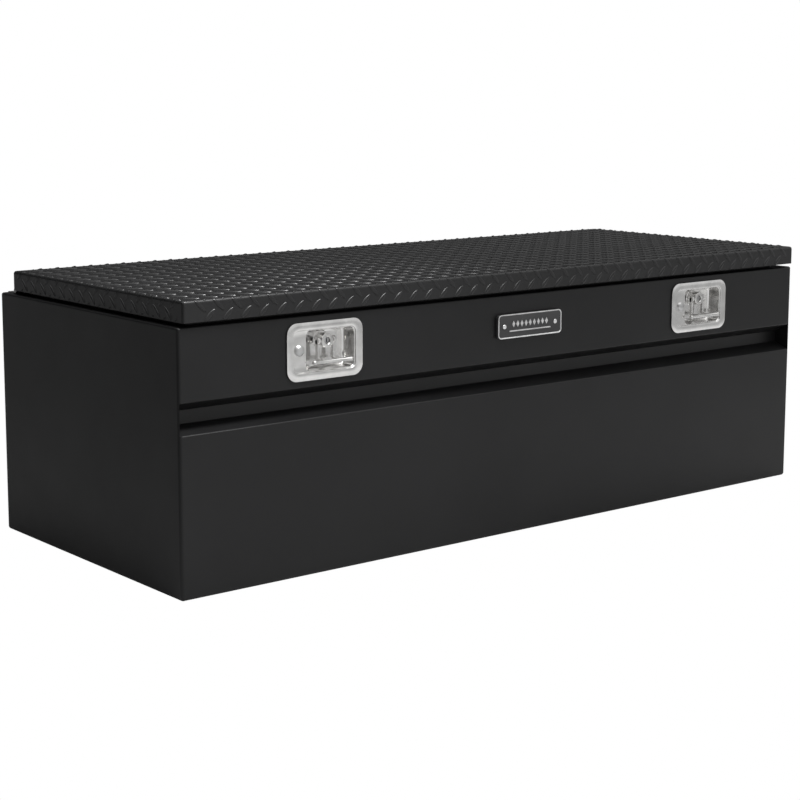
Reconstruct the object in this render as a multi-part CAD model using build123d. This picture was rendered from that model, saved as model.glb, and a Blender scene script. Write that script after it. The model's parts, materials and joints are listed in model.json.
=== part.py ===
from build123d import *
import math
import os

# Chest-style truck tool box: a folded sheet-metal body with a full-length groove in its front,
# a hinged tread-plate lid on a continuous hinge, two gas struts and two folding T-handle latches.
# Millimetres. +X runs along the front to the right, +Y to the back, +Z up.
# The origin is the centre of the body's underside.

# Body
BODY_LENGTH = 1524.0
BODY_DEPTH = 618.0
BODY_HEIGHT = 451.0
SHEET = 2.0
CORNER_R = 6.0
TOP_EDGE_R = 4.0
FLOOR_FLANGE = 30.0
BEND_R = 3.0

# Groove pressed into the front
FASCIA_HEIGHT = 122.8
GROOVE_MOUTH = 54.2
GROOVE_DEPTH = 36.0
GROOVE_TOP_FALL = 17.2
GROOVE_LEDGE_RISE = 13.4

# Top frame: a flat border with an upturned lip that carries the seal
RIM_INSET = 25.0
LIP_TOP_ABOVE_BODY = 29.0
LIP_CORNER_R = 18.0

# Lid
LID_END_INSET = 6.0
LID_FRONT_OVERHANG = 7.3
LID_REAR_INSET = 39.0
LID_GAP = 7.5
LID_SKIRT = 35.5
LID_SHEET = 2.5
LID_CORNER_R = 6.0
LID_EDGE_R = 5.0
LIP_TO_REAR_SKIRT = 12.0

# Seal
SEAL_WALL = 2.5
SEAL_OVERLAP = 4.0
SEAL_TO_LID = 0.3
SEAL_TOP_R = 2.5

# Lid stiffeners: hat sections running front to back
STIFFENER_FROM_LATCH = 170.5
HAT_WIDTH = 60.0
HAT_HEIGHT = 15.0
HAT_FLANGE = 15.0
HAT_SHEET = 2.0
HAT_FRONT_GAP = 12.0
HAT_REAR_GAP = 24.0

# Continuous hinge
HINGE_LEAF = 2.0
HINGE_PIN_R = 2.5
KNUCKLE_R = 4.5
KNUCKLE_PITCH = 50.0
KNUCKLE_GAP = 0.4
KNUCKLE_TO_PANEL = 0.5
BODY_LEAF_WIDTH = 27.0
LID_LEAF_TOP_GAP = 6.0
NOTCH_GAP = 0.6
HINGE_END_GAP = 6.0
RIVET_PITCH = 100.0
RIVET_R = 2.4
RIVET_HEAD_R = 4.2
RIVET_HEAD_H = 1.6
RIVET_TAIL_R = 3.2
RIVET_TAIL_H = 2.0

# How far cutters run past the faces that they cut, and webs into the sheet that they join
OVERRUN = 1.0

# Clearances
SHAFT_GAP = 0.05
BODY_GAP = 0.3

# Floor bolts
FLOOR_BOLT_FROM_END = 162.0
FLOOR_BOLT_FROM_SIDE = 89.0
FLOOR_BOLT_R = 5.5

# Gas struts; places in the YZ plane are measured from the hinge axis
STRUT_BODY_PIVOT = (-49.5, -55.5)
STRUT_ROD_END = (-310.5, 23.9)
STRUT_SLOT_CENTRE = (-311.7, 17.0)
STRUT_SLOT_TRAVEL = 14.2
STRUT_SLOT_PLAY = 2.5
STRUT_LIP_ROOM = 5.0
STRUT_TUBE_R = 9.0
STRUT_BORE_R = 7.5
STRUT_ROD_R = 4.0
STRUT_TUBE_LENGTH = 175.0
STRUT_TUBE_START = 13.0
STRUT_GLAND = 8.0
STRUT_PISTON_AT = 60.0
STRUT_PISTON_LENGTH = 8.0
STRUT_EYE_R = 7.0
STRUT_EYE_WIDTH = 10.0
STRUT_STUD_R = 4.0
STRUT_HEAD_R = 6.0
STRUT_HEAD_H = 2.5
BRACKET_SHEET = 3.0
BRACKET_WIDTH = 34.0
BRACKET_MARGIN = 12.0
BRACKET_FOOT = 36.0
BRACKET_SIDE_GAP = 1.2

# Latches; u runs right, w up and v inward from the body's front face, from the flange's centre
LATCH_SPACING = 941.0
FLANGE_MARGIN_U = 14.0
FLANGE_MARGIN_W = 13.0
FLANGE_R = 20.0
GASKET = 1.0
GASKET_MARGIN = 1.0
PAN_SHEET = 2.0
TUB_WIDTH = 132.0
TUB_HEIGHT = 74.0
TUB_R = 12.0
TUB_GAP = 1.0
SHELF_WIDTH = 27.0
POCKET_DEPTH = 30.0
HUB_U = 12.0
HUB_W = 13.5
HUB_R = 13.0
HUB_RECESS = 10.0
SPINDLE_R = 8.0
CAM_SQUARE = 12.0
CAM_SEAT = 11.0
CAM_SHEET = 4.0
CAM_LENGTH = 55.0
CAM_HALF_WIDTH = 9.0
CAM_NUT_H = 6.0
CAM_NUT_R = 10.0
CAM_STUD_R = 5.5
CAM_STUD_TAIL = 2.0
CAM_BOSS_RIM = 2.0
KEY_R = 5.5
KEY_LENGTH = 18.0
KEY_SLOT = (7.0, 1.4, 6.0)
HANDLE_R = 4.0
HANDLE_TO_FLANGE = 0.4
HANDLE_REACH = 33.5
HANDLE_BAR = 86.0
ARM_SHEET = 5.5
ARM_DEPTH = 7.0
ARM_BOSS_R = 7.0
ARM_GAP = 0.4
PIVOT_BEHIND_FACE = 7.5
TRUNNION_R = 2.5
TRUNNION_WALL = 2.0
SHELF_BOLT_W = 2.5
SHELF_BOLT_R = 4.0
SHELF_BOLT_HEAD_R = 9.5
SHELF_BOLT_HEAD_H = 5.5
SHELF_BOLT_NUT_H = 6.0
SHELF_BOLT_TAIL = 4.0
CLAMP_WIDTH = 20.0
CLAMP_OVERLAP = 10.0

# Lid strikers
STRIKER_FROM_HUB = 20.0
STRIKER_WIDTH = 30.0
STRIKER_SHEET = 3.0
STRIKER_FOOT_AHEAD = 3.0
STRIKER_STRAP_BEHIND = 11.0
STRIKER_CAM_GAP = 0.5
STRIKER_TOP = 30.0

# Badge
BADGE_WIDTH = 160.0
BADGE_HEIGHT = 45.0
BADGE_THICKNESS = 8.0
BADGE_R = 8.0
BADGE_ABOVE_LATCHES = 4.0
BADGE_BORDER = 3.5
BADGE_RECESS = 1.2
BADGE_RIVET_INSET = 16.0
BADGE_RIVET_R = 2.4
BADGE_RIVET_HEAD_R = 4.5
BADGE_RIVET_HEAD_H = 1.6

# Places worked out from the sizes above
HALF_LENGTH = BODY_LENGTH / 2
FRONT = -BODY_DEPTH / 2
BACK = BODY_DEPTH / 2
CAP_START = HALF_LENGTH - CORNER_R
FRAME_Z = BODY_HEIGHT - TOP_EDGE_R
GROOVE_TOP = BODY_HEIGHT - FASCIA_HEIGHT
GROOVE_BOTTOM = GROOVE_TOP - GROOVE_MOUTH
LID_HALF = HALF_LENGTH - LID_END_INSET
LID_FRONT = FRONT - LID_FRONT_OVERHANG
LID_REAR = BACK - LID_REAR_INSET
LID_BOTTOM = BODY_HEIGHT + LID_GAP
LID_TOP = LID_BOTTOM + LID_SKIRT
LID_UNDERSIDE = LID_TOP - LID_SHEET
LIP_X = HALF_LENGTH - RIM_INSET
LIP_FRONT = FRONT + RIM_INSET
LIP_BACK = LID_REAR - LID_SHEET - LIP_TO_REAR_SKIRT
LIP_TOP = BODY_HEIGHT + LIP_TOP_ABOVE_BODY
HINGE_Y = LID_REAR + KNUCKLE_R + KNUCKLE_TO_PANEL
HINGE_Z = BODY_HEIGHT + KNUCKLE_R + KNUCKLE_TO_PANEL
BRACKET_X = LIP_X - SHEET - STRUT_LIP_ROOM - STRUT_HEAD_H - BODY_GAP - BRACKET_SHEET
STRUT_X = BRACKET_X - BRACKET_SIDE_GAP - STRUT_TUBE_R
FLANGE_WIDTH = TUB_WIDTH + 2 * FLANGE_MARGIN_U
FLANGE_HEIGHT = TUB_HEIGHT + 2 * FLANGE_MARGIN_W
FLANGE_FACE = -(GASKET + PAN_SHEET)
HANDLE_V = FLANGE_FACE - HANDLE_TO_FLANGE - HANDLE_R
HUB_FACE = FLANGE_FACE + HUB_RECESS
PIVOT_V = HUB_FACE + PIVOT_BEHIND_FACE
CAM_V = POCKET_DEPTH + CAM_SEAT
TRUNNION_DEPTH = HUB_R - KEY_R - TRUNNION_WALL
SHELF_BOLT_U = (SHELF_WIDTH - TUB_WIDTH) / 2
LATCH_Z = (BODY_HEIGHT + GROOVE_TOP) / 2
BADGE_Z = LATCH_Z + BADGE_ABOVE_LATCHES
BADGE_RIVET_X = BADGE_WIDTH / 2 - BADGE_RIVET_INSET
FLOOR_BOLT_X = HALF_LENGTH - FLOOR_BOLT_FROM_END
FLOOR_BOLT_Y = BODY_DEPTH / 2 - FLOOR_BOLT_FROM_SIDE
ROD_ANGLE = math.atan2(STRUT_ROD_END[1] - STRUT_BODY_PIVOT[1], STRUT_ROD_END[0] - STRUT_BODY_PIVOT[0])
ROD_REACH = math.dist(STRUT_ROD_END, STRUT_BODY_PIVOT)

parts = {}


def box(x, y, z):
    """A box from its low and high values along each axis."""
    size = (x[1] - x[0], y[1] - y[0], z[1] - z[0])
    return Pos((x[0] + x[1]) / 2, (y[0] + y[1]) / 2, (z[0] + z[1]) / 2) * Box(*size)


def rod(start, direction, length, radius):
    """A cylinder from its start point along a direction."""
    return extrude(Plane(start, z_dir=direction) * Circle(radius), length)


def turned(start, direction, profile):
    """A turned piece from its profile of (distance along the axis, radius) points."""
    plane = Plane(start, x_dir=direction, z_dir=(1, 0, 0))
    return revolve(plane * make_face(Polyline(*profile, close=True)), Axis(start, direction))


def ring(x, y, corner_r, wall, z):
    """An upright rectangular tube; x and y give its outside, z its height."""
    plane = Plane.XY.offset(z[0])
    centre = Pos((x[0] + x[1]) / 2, (y[0] + y[1]) / 2)
    outer = RectangleRounded(x[1] - x[0], y[1] - y[0], corner_r)
    inner = RectangleRounded(x[1] - x[0] - 2 * wall, y[1] - y[0] - 2 * wall, corner_r - wall)
    return extrude(plane * (centre * (outer - inner)), z[1] - z[0])


def dome_rivet(place, direction, head_r, head_h, shank_r, grip, tail_r, tail_h):
    """A dome-headed rivet; place is on the seat under the head, direction points out of the head."""
    dome_r = (head_r**2 + head_h**2) / (2 * head_h)
    cap = Pos(0, 0, head_h - dome_r) * Sphere(dome_r) & Pos(0, 0, head_h) * Cylinder(head_r, 2 * head_h)
    shank = Pos(0, 0, -grip / 2) * Cylinder(shank_r, grip)
    tail = Pos(0, 0, -grip - tail_h / 2) * Cylinder(tail_r, tail_h)
    return Plane(place, z_dir=direction) * (cap + shank + tail)


# ---------------------------------------------------------------- body


def groove_face():
    """The groove's outline across the front, in the YZ plane."""
    depth = FRONT + GROOVE_DEPTH
    points = [
        (FRONT, GROOVE_TOP),
        (depth, GROOVE_TOP - GROOVE_TOP_FALL),
        (depth, GROOVE_BOTTOM + GROOVE_LEDGE_RISE),
        (FRONT, GROOVE_BOTTOM),
        (FRONT - CORNER_R, GROOVE_BOTTOM),
        (FRONT - CORNER_R, GROOVE_TOP),
    ]
    return make_face(Polyline(*points, close=True))


def body_section():
    """The body's outline and the space inside its wall, both across its length."""
    outline = Pos(0, BODY_HEIGHT / 2) * Rectangle(BODY_DEPTH, BODY_HEIGHT)
    low = outline.vertices().sort_by(Axis.Y)[:2]
    outline = fillet(low, CORNER_R)
    outline = fillet(outline.vertices().sort_by(Axis.Y)[-2:], TOP_EDGE_R)
    outline = outline - groove_face()
    bends = [
        v for v in outline.vertices()
        if GROOVE_BOTTOM - OVERRUN < v.Y < GROOVE_TOP + OVERRUN and v.X < FRONT + GROOVE_DEPTH + OVERRUN
    ]
    outline = fillet(bends, BEND_R)
    return outline, offset(outline, -SHEET)


def along_length(face, x_low, x_high):
    """Extrudes a face drawn in YZ between two places along the length."""
    return extrude(Plane.YZ.offset(x_low) * face, x_high - x_low)


def body_blank():
    """The body's outside with every edge rounded and no groove."""
    blank = box((-HALF_LENGTH, HALF_LENGTH), (FRONT, BACK), (0, BODY_HEIGHT))
    low = blank.edges().filter_by(Axis.Z) + blank.faces().sort_by(Axis.Z)[0].edges()
    blank = fillet(low, CORNER_R)
    return fillet(blank.faces().sort_by(Axis.Z)[-1].edges(), TOP_EDGE_R)


def latch_places():
    """The centre of each latch's flange along the length."""
    return {"left": -LATCH_SPACING / 2, "right": LATCH_SPACING / 2}


def latch_frame(x):
    """A plane on the body's front with u to the right, w up and its normal pointing outward."""
    return Plane((x, FRONT, LATCH_Z), x_dir=(1, 0, 0), z_dir=(0, -1, 0))


def panel_walls():
    """Front, back and floor, cut from one folded section, and the two end panels."""
    outline, space = body_section()
    sheet = along_length(outline - space, -CAP_START, CAP_START)
    sheet = sheet & box((-CAP_START, CAP_START), (FRONT, BACK), (0, FRAME_Z))
    front_edge = FRONT + FLOOR_FLANGE
    whole_x = (-HALF_LENGTH, HALF_LENGTH)

    front = sheet & box(whole_x, (FRONT, front_edge), (0, CORNER_R))
    front = front + (sheet & box(whole_x, (FRONT, front_edge + GROOVE_DEPTH), (CORNER_R, BODY_HEIGHT)))
    for x in latch_places().values():
        aperture = RectangleRounded(TUB_WIDTH + 2 * TUB_GAP, TUB_HEIGHT + 2 * TUB_GAP, TUB_R + TUB_GAP)
        front = front - extrude(latch_frame(x) * aperture, 2 * SHEET, both=True)
    for x in (-BADGE_RIVET_X, BADGE_RIVET_X):
        front = front - rod((x, FRONT - SHEET, BADGE_Z), (0, 1, 0), 3 * SHEET, BADGE_RIVET_R + SHAFT_GAP)
    parts["front_panel"] = front

    back = sheet & box(whole_x, (BACK - FLOOR_FLANGE, BACK), (0, BODY_HEIGHT))
    parts["back_panel"] = back

    floor = sheet & box(whole_x, (front_edge, BACK - FLOOR_FLANGE), (0, CORNER_R))
    for x in (-FLOOR_BOLT_X, FLOOR_BOLT_X):
        for y in (-FLOOR_BOLT_Y, FLOOR_BOLT_Y):
            floor = floor - rod((x, y, -SHEET), (0, 0, 1), 3 * SHEET, FLOOR_BOLT_R)
    parts["floor_panel"] = floor

    hollow = groove_face() + space
    cap = body_blank() & box((CAP_START, HALF_LENGTH), (FRONT, BACK), (0, FRAME_Z))
    cap = cap - along_length(hollow, CAP_START - OVERRUN, HALF_LENGTH - SHEET)
    parts["right_end_panel"] = cap
    parts["left_end_panel"] = mirror(cap, Plane.YZ)


def top_frame():
    """The flat border round the opening with its upturned lip."""
    frame = body_blank() & box((-HALF_LENGTH, HALF_LENGTH), (FRONT, BACK), (FRAME_Z, BODY_HEIGHT))
    inside = HALF_LENGTH - SHEET
    frame = frame - box((-inside, inside), (FRONT + SHEET, BACK - SHEET), (0, BODY_HEIGHT - SHEET))
    lip = ring((-LIP_X, LIP_X), (LIP_FRONT, LIP_BACK), LIP_CORNER_R, SHEET, (BODY_HEIGHT - SHEET, LIP_TOP))
    centre = Pos(0, (LIP_FRONT + LIP_BACK) / 2)
    hole = RectangleRounded(2 * LIP_X, LIP_BACK - LIP_FRONT, LIP_CORNER_R)
    frame = frame - extrude(centre * hole, 2 * BODY_HEIGHT)
    frame = frame + lip
    for x in rivet_places():
        seat = (x, HINGE_Y + BODY_LEAF_WIDTH / 2, BODY_HEIGHT + SHEET)
        frame = frame - rod(seat, (0, 0, -1), 3 * SHEET, RIVET_R + SHAFT_GAP)
    parts["top_frame"] = frame


def lid_seal():
    """A rubber bulb that sits over the lip and meets the lid."""
    outside_x = LIP_X + SEAL_WALL
    outside_y = (LIP_FRONT - SEAL_WALL, LIP_BACK + SEAL_WALL)
    z = (LIP_TOP - SEAL_OVERLAP, LID_UNDERSIDE - SEAL_TO_LID)
    wall = SHEET + 2 * SEAL_WALL
    seal = ring((-outside_x, outside_x), outside_y, LIP_CORNER_R + SEAL_WALL, wall, z)
    seal = fillet(seal.faces().sort_by(Axis.Z)[-1].edges(), SEAL_TOP_R)
    lip = ring((-LIP_X, LIP_X), (LIP_FRONT, LIP_BACK), LIP_CORNER_R, SHEET, (BODY_HEIGHT, LIP_TOP))
    parts["lid_seal"] = seal - lip


# ---------------------------------------------------------------- lid


def lid_skin():
    """The tread-plate tray: a top with a skirt all round."""
    outer = box((-LID_HALF, LID_HALF), (LID_FRONT, LID_REAR), (LID_BOTTOM, LID_TOP))
    outer = fillet(outer.edges().filter_by(Axis.Z), LID_CORNER_R)
    outer = fillet(outer.faces().sort_by(Axis.Z)[-1].edges(), LID_EDGE_R)
    x = LID_HALF - LID_SHEET
    y = (LID_FRONT + LID_SHEET, LID_REAR - LID_SHEET)
    inner = box((-x, x), y, (LID_BOTTOM - LID_SHEET, LID_UNDERSIDE))
    inner = fillet(inner.edges().filter_by(Axis.Z), LID_CORNER_R - LID_SHEET)
    inner = fillet(inner.faces().sort_by(Axis.Z)[-1].edges(), LID_EDGE_R - LID_SHEET)
    skin = outer - inner
    for x in rivet_places():
        start = (x, LID_REAR + OVERRUN, lid_rivet_z())
        skin = skin - rod(start, (0, -1, 0), 3 * LID_SHEET, RIVET_R + SHAFT_GAP)
    parts["lid_skin"] = skin


def lid_stiffeners():
    """Hat sections under the lid, running front to back."""
    half = HAT_WIDTH / 2
    hollow = Pos(0, HAT_SHEET) * Rectangle(HAT_WIDTH - 2 * HAT_SHEET, HAT_HEIGHT)
    shell = Rectangle(HAT_WIDTH, HAT_HEIGHT) - hollow
    flange = Rectangle(HAT_FLANGE + HAT_SHEET, HAT_SHEET)
    reach = half + (HAT_FLANGE - HAT_SHEET) / 2
    rise = (HAT_HEIGHT - HAT_SHEET) / 2
    section = shell + Pos(-reach, rise) * flange + Pos(reach, rise) * flange
    y_low = LIP_FRONT + HAT_FRONT_GAP
    y_high = LIP_BACK - HAT_REAR_GAP
    outer = LATCH_SPACING / 2 - STIFFENER_FROM_LATCH
    for index, x in enumerate((-outer, 0.0, outer)):
        plane = Plane((x, y_high, LID_UNDERSIDE - HAT_HEIGHT / 2), x_dir=(1, 0, 0), z_dir=(0, -1, 0))
        parts[f"lid_stiffener_{index + 1}"] = extrude(plane * section, y_high - y_low)


# ---------------------------------------------------------------- continuous hinge


def hinge_half():
    """Half the hinge's length, a whole number of knuckles on each leaf."""
    pairs = math.floor((LID_HALF - HINGE_END_GAP) / KNUCKLE_PITCH)
    return pairs * KNUCKLE_PITCH


def rivet_places():
    """Places of the hinge's rivets along the length."""
    count = math.floor((2 * hinge_half() - KNUCKLE_PITCH) / RIVET_PITCH)
    first = -count * RIVET_PITCH / 2
    return [first + index * RIVET_PITCH for index in range(count + 1)]


def lid_rivet_z():
    """Height of the rivets in the lid's rear skirt."""
    return (HINGE_Z + KNUCKLE_R + LID_TOP - LID_LEAF_TOP_GAP) / 2


def hinge():
    """Two leaves with alternate knuckles on one long pin."""
    half = hinge_half()
    clear = KNUCKLE_R + NOTCH_GAP
    count = round(2 * half / KNUCKLE_PITCH)
    y_leaf = (HINGE_Y + clear, HINGE_Y + BODY_LEAF_WIDTH)
    body_leaf = box((-half, half), y_leaf, (BODY_HEIGHT, BODY_HEIGHT + HINGE_LEAF))
    z_leaf = (HINGE_Z + clear, LID_TOP - LID_LEAF_TOP_GAP)
    lid_leaf = box((-half, half), (LID_REAR, LID_REAR + HINGE_LEAF), z_leaf)
    body_knuckles = []
    lid_knuckles = []
    for index in range(count):
        low = -half + index * KNUCKLE_PITCH + KNUCKLE_GAP / 2
        high = low + KNUCKLE_PITCH - KNUCKLE_GAP
        knuckle = rod((low, HINGE_Y, HINGE_Z), (1, 0, 0), high - low, KNUCKLE_R)
        if index % 2:
            z_web = (BODY_HEIGHT, BODY_HEIGHT + HINGE_LEAF)
            body_knuckles.append(knuckle + box((low, high), (HINGE_Y, y_leaf[0] + OVERRUN), z_web))
        else:
            y_web = (LID_REAR, LID_REAR + HINGE_LEAF)
            lid_knuckles.append(knuckle + box((low, high), y_web, (HINGE_Z, z_leaf[0] + OVERRUN)))
    bore_start = (-half - OVERRUN, HINGE_Y, HINGE_Z)
    bore = rod(bore_start, (1, 0, 0), 2 * (half + OVERRUN), HINGE_PIN_R + SHAFT_GAP)
    hole = (3 * HINGE_LEAF, RIVET_R + SHAFT_GAP)
    leaf_middle = HINGE_Y + BODY_LEAF_WIDTH / 2
    body_holes = [
        rod((x, leaf_middle, BODY_HEIGHT - OVERRUN), (0, 0, 1), *hole) for x in rivet_places()
    ]
    lid_holes = [
        rod((x, LID_REAR - OVERRUN, lid_rivet_z()), (0, 1, 0), *hole) for x in rivet_places()
    ]
    parts["hinge_body_leaf"] = (body_leaf + body_knuckles) - bore - body_holes
    parts["hinge_lid_leaf"] = (lid_leaf + lid_knuckles) - bore - lid_holes
    parts["hinge_pin"] = rod((-half, HINGE_Y, HINGE_Z), (1, 0, 0), 2 * half, HINGE_PIN_R)

    body_set = []
    lid_set = []
    for x in rivet_places():
        seat = (x, leaf_middle, BODY_HEIGHT + HINGE_LEAF)
        sizes = (RIVET_HEAD_R, RIVET_HEAD_H, RIVET_R)
        tail = (RIVET_TAIL_R, RIVET_TAIL_H)
        body_set.append(dome_rivet(seat, (0, 0, 1), *sizes, HINGE_LEAF + SHEET, *tail))
        seat = (x, LID_REAR + HINGE_LEAF, lid_rivet_z())
        lid_set.append(dome_rivet(seat, (0, 1, 0), *sizes, HINGE_LEAF + LID_SHEET, *tail))
    parts["hinge_body_rivets"] = Compound(body_set)
    parts["hinge_lid_rivets"] = Compound(lid_set)


# ---------------------------------------------------------------- gas struts


def strut_pieces():
    """One gas strut with its brackets, drawn at the right-hand end."""
    base_y = HINGE_Y + STRUT_BODY_PIVOT[0]
    base_z = HINGE_Z + STRUT_BODY_PIVOT[1]
    base = Vector(STRUT_X, base_y, base_z)
    along = Vector(0, math.cos(ROD_ANGLE), math.sin(ROD_ANGLE))
    half_eye = STRUT_EYE_WIDTH / 2
    tab = (BRACKET_X, BRACKET_X + BRACKET_SHEET)
    tip = base + along * ROD_REACH

    barrel = [
        (0, 0), (0, STRUT_ROD_R), (STRUT_TUBE_START, STRUT_ROD_R), (STRUT_TUBE_START, STRUT_TUBE_R),
        (STRUT_TUBE_LENGTH, STRUT_TUBE_R), (STRUT_TUBE_LENGTH, STRUT_ROD_R + SHAFT_GAP),
        (STRUT_TUBE_LENGTH - STRUT_GLAND, STRUT_ROD_R + SHAFT_GAP),
        (STRUT_TUBE_LENGTH - STRUT_GLAND, STRUT_BORE_R),
        (STRUT_TUBE_START + STRUT_GLAND, STRUT_BORE_R), (STRUT_TUBE_START + STRUT_GLAND, 0),
    ]
    piston_r = STRUT_BORE_R - 2 * SHAFT_GAP
    plunger = [
        (STRUT_PISTON_AT, 0), (STRUT_PISTON_AT, piston_r), (STRUT_PISTON_AT + STRUT_PISTON_LENGTH, piston_r),
        (STRUT_PISTON_AT + STRUT_PISTON_LENGTH, STRUT_ROD_R), (ROD_REACH, STRUT_ROD_R), (ROD_REACH, 0),
    ]
    pieces = {"cylinder": turned(base, along, barrel), "rod": turned(base, along, plunger)}
    for name, centre, hole_r in (("cylinder", base, STRUT_STUD_R + SHAFT_GAP), ("rod", tip, STRUT_STUD_R)):
        eye = rod(centre - Vector(half_eye, 0, 0), (1, 0, 0), STRUT_EYE_WIDTH, STRUT_EYE_R)
        hole = rod(centre - Vector(STRUT_EYE_WIDTH, 0, 0), (1, 0, 0), 2 * STRUT_EYE_WIDTH, hole_r)
        pieces[name] = pieces[name] + eye - hole
    pin_start = tip - Vector(half_eye, 0, 0)
    pin_end = tab[1] + BODY_GAP
    pin = rod(pin_start, (1, 0, 0), pin_end - pin_start.X, STRUT_STUD_R)
    pin = pin + rod((pin_end, tip.Y, tip.Z), (1, 0, 0), STRUT_HEAD_H, STRUT_STUD_R + STRUT_SLOT_PLAY)
    pin = pin + rod(pin_start, (-1, 0, 0), STRUT_HEAD_H, STRUT_HEAD_R)
    pieces["rod_pin"] = pin

    wall = HALF_LENGTH - SHEET
    y = (base_y - BRACKET_WIDTH / 2, base_y + BRACKET_WIDTH / 2)
    web_z = base_z - STRUT_STUD_R - BRACKET_MARGIN
    bracket = box(tab, y, (web_z, base_z + BRACKET_MARGIN))
    bracket = bracket + box((tab[0], wall), y, (web_z - BRACKET_SHEET, web_z))
    bracket = bracket + box((wall - BRACKET_SHEET, wall), y, (web_z - BRACKET_SHEET, web_z + BRACKET_FOOT))
    bracket = bracket - rod((STRUT_X, base_y, base_z), (1, 0, 0), STRUT_EYE_WIDTH * 2, STRUT_STUD_R)
    pieces["body_bracket"] = bracket
    stud_start = Vector(STRUT_X - half_eye - BODY_GAP, base_y, base_z)
    stud = rod(stud_start, (1, 0, 0), tab[1] - stud_start.X, STRUT_STUD_R)
    stud = stud + rod(stud_start, (-1, 0, 0), STRUT_HEAD_H, STRUT_HEAD_R)
    pieces["body_stud"] = stud + rod((tab[1], base_y, base_z), (1, 0, 0), STRUT_HEAD_H, STRUT_HEAD_R)

    slot_y = HINGE_Y + STRUT_SLOT_CENTRE[0]
    slot_z = HINGE_Z + STRUT_SLOT_CENTRE[1]
    slot_half = STRUT_SLOT_TRAVEL / 2 + STRUT_STUD_R + BODY_GAP
    slot_width = 2 * STRUT_STUD_R + STRUT_SLOT_PLAY + 2 * BODY_GAP
    y = (slot_y - BRACKET_WIDTH / 2, slot_y + BRACKET_WIDTH / 2)
    hanger = box(tab, y, (slot_z - slot_half - BRACKET_MARGIN / 2, LID_UNDERSIDE))
    foot = box((tab[1] - BRACKET_FOOT, tab[1]), y, (LID_UNDERSIDE - BRACKET_SHEET, LID_UNDERSIDE))
    corner_r = slot_width / 2 - BODY_GAP
    slot = RectangleRounded(slot_width, 2 * slot_half, corner_r)
    across = Plane((STRUT_X, slot_y, slot_z), x_dir=(0, 1, 0), z_dir=(1, 0, 0))
    slot = extrude(across * slot, STRUT_EYE_WIDTH * 2)
    pieces["lid_bracket"] = hanger + foot - slot
    return pieces


def gas_struts():
    """Both struts, the left one a mirror of the right."""
    for name, piece in strut_pieces().items():
        parts[f"strut_right_{name}"] = piece
        parts[f"strut_left_{name}"] = mirror(piece, Plane.YZ)


# ---------------------------------------------------------------- latches


def slab(width, height, radius, v_low, v_high, u=0.0, w=0.0):
    """A rounded plate in latch coordinates."""
    face = Pos(u, w, -v_high) * RectangleRounded(width, height, radius)
    return extrude(face, v_high - v_low)


def disc(radius, v_low, v_high, u=HUB_U, w=HUB_W):
    """A disc in latch coordinates."""
    return extrude(Pos(u, w, -v_high) * Circle(radius), v_high - v_low)


def latch_pan():
    """A flanged tub with a shallow shelf on its left and a deep pocket round the hub."""
    pocket_width = TUB_WIDTH - SHELF_WIDTH
    pocket_u = (TUB_WIDTH - pocket_width) / 2
    inner = TUB_R - PAN_SHEET
    pan = slab(FLANGE_WIDTH, FLANGE_HEIGHT, FLANGE_R, FLANGE_FACE, -GASKET)
    pan = pan + slab(TUB_WIDTH, TUB_HEIGHT, TUB_R, FLANGE_FACE, SHEET)
    pan = pan + slab(pocket_width, TUB_HEIGHT, TUB_R, FLANGE_FACE, POCKET_DEPTH, pocket_u)
    twice = 2 * PAN_SHEET
    pan = pan - slab(TUB_WIDTH - twice, TUB_HEIGHT - twice, inner, FLANGE_FACE - OVERRUN, SHEET - PAN_SHEET)
    floor = POCKET_DEPTH - PAN_SHEET
    pan = pan - slab(pocket_width - twice, TUB_HEIGHT - twice, inner, FLANGE_FACE - OVERRUN, floor, pocket_u)
    pan = pan - disc(SPINDLE_R + SHAFT_GAP, 0, POCKET_DEPTH + OVERRUN)
    return pan - disc(SHELF_BOLT_R + SHAFT_GAP, FLANGE_FACE, SHEET + OVERRUN, SHELF_BOLT_U, SHELF_BOLT_W)


def latch_gasket():
    """A thin gasket between the flange and the front panel."""
    low = 2 * GASKET_MARGIN
    outer = slab(FLANGE_WIDTH - low, FLANGE_HEIGHT - low, FLANGE_R - GASKET_MARGIN, -GASKET, 0)
    return outer - slab(TUB_WIDTH, TUB_HEIGHT, TUB_R, -GASKET - OVERRUN, OVERRUN)


def latch_hub():
    """The turning hub with its spindle, square cam seat and threaded end."""
    floor = POCKET_DEPTH - PAN_SHEET - BODY_GAP
    hub = disc(HUB_R, HUB_FACE, floor)
    hub = hub + disc(SPINDLE_R, floor, CAM_V)
    seat = Pos(HUB_U, HUB_W, -(CAM_V + CAM_SHEET)) * Rectangle(CAM_SQUARE, CAM_SQUARE)
    seat = extrude(seat, CAM_SHEET) & disc(SPINDLE_R, CAM_V, CAM_V + CAM_SHEET)
    hub = hub + seat + disc(CAM_STUD_R, CAM_V + CAM_SHEET, CAM_V + CAM_SHEET + CAM_NUT_H + CAM_STUD_TAIL)
    hub = hub - disc(KEY_R + SHAFT_GAP, HUB_FACE - OVERRUN, HUB_FACE + KEY_LENGTH + BODY_GAP)
    for side in (-1, 1):
        start = Vector(HUB_U + side * (HUB_R + OVERRUN), HUB_W, -PIVOT_V)
        hub = hub - rod(start, (-side, 0, 0), TRUNNION_DEPTH + OVERRUN, TRUNNION_R)
    return hub


def latch_trunnions():
    """Two short pins in the hub's sides that the handle folds on."""
    arm_outside = HUB_R + ARM_GAP + ARM_SHEET
    pins = []
    for side in (-1, 1):
        start = Vector(HUB_U + side * (HUB_R - TRUNNION_DEPTH), HUB_W, -PIVOT_V)
        pins.append(rod(start, (side, 0, 0), arm_outside - HUB_R + TRUNNION_DEPTH, TRUNNION_R))
    return Compound(pins)


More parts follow.
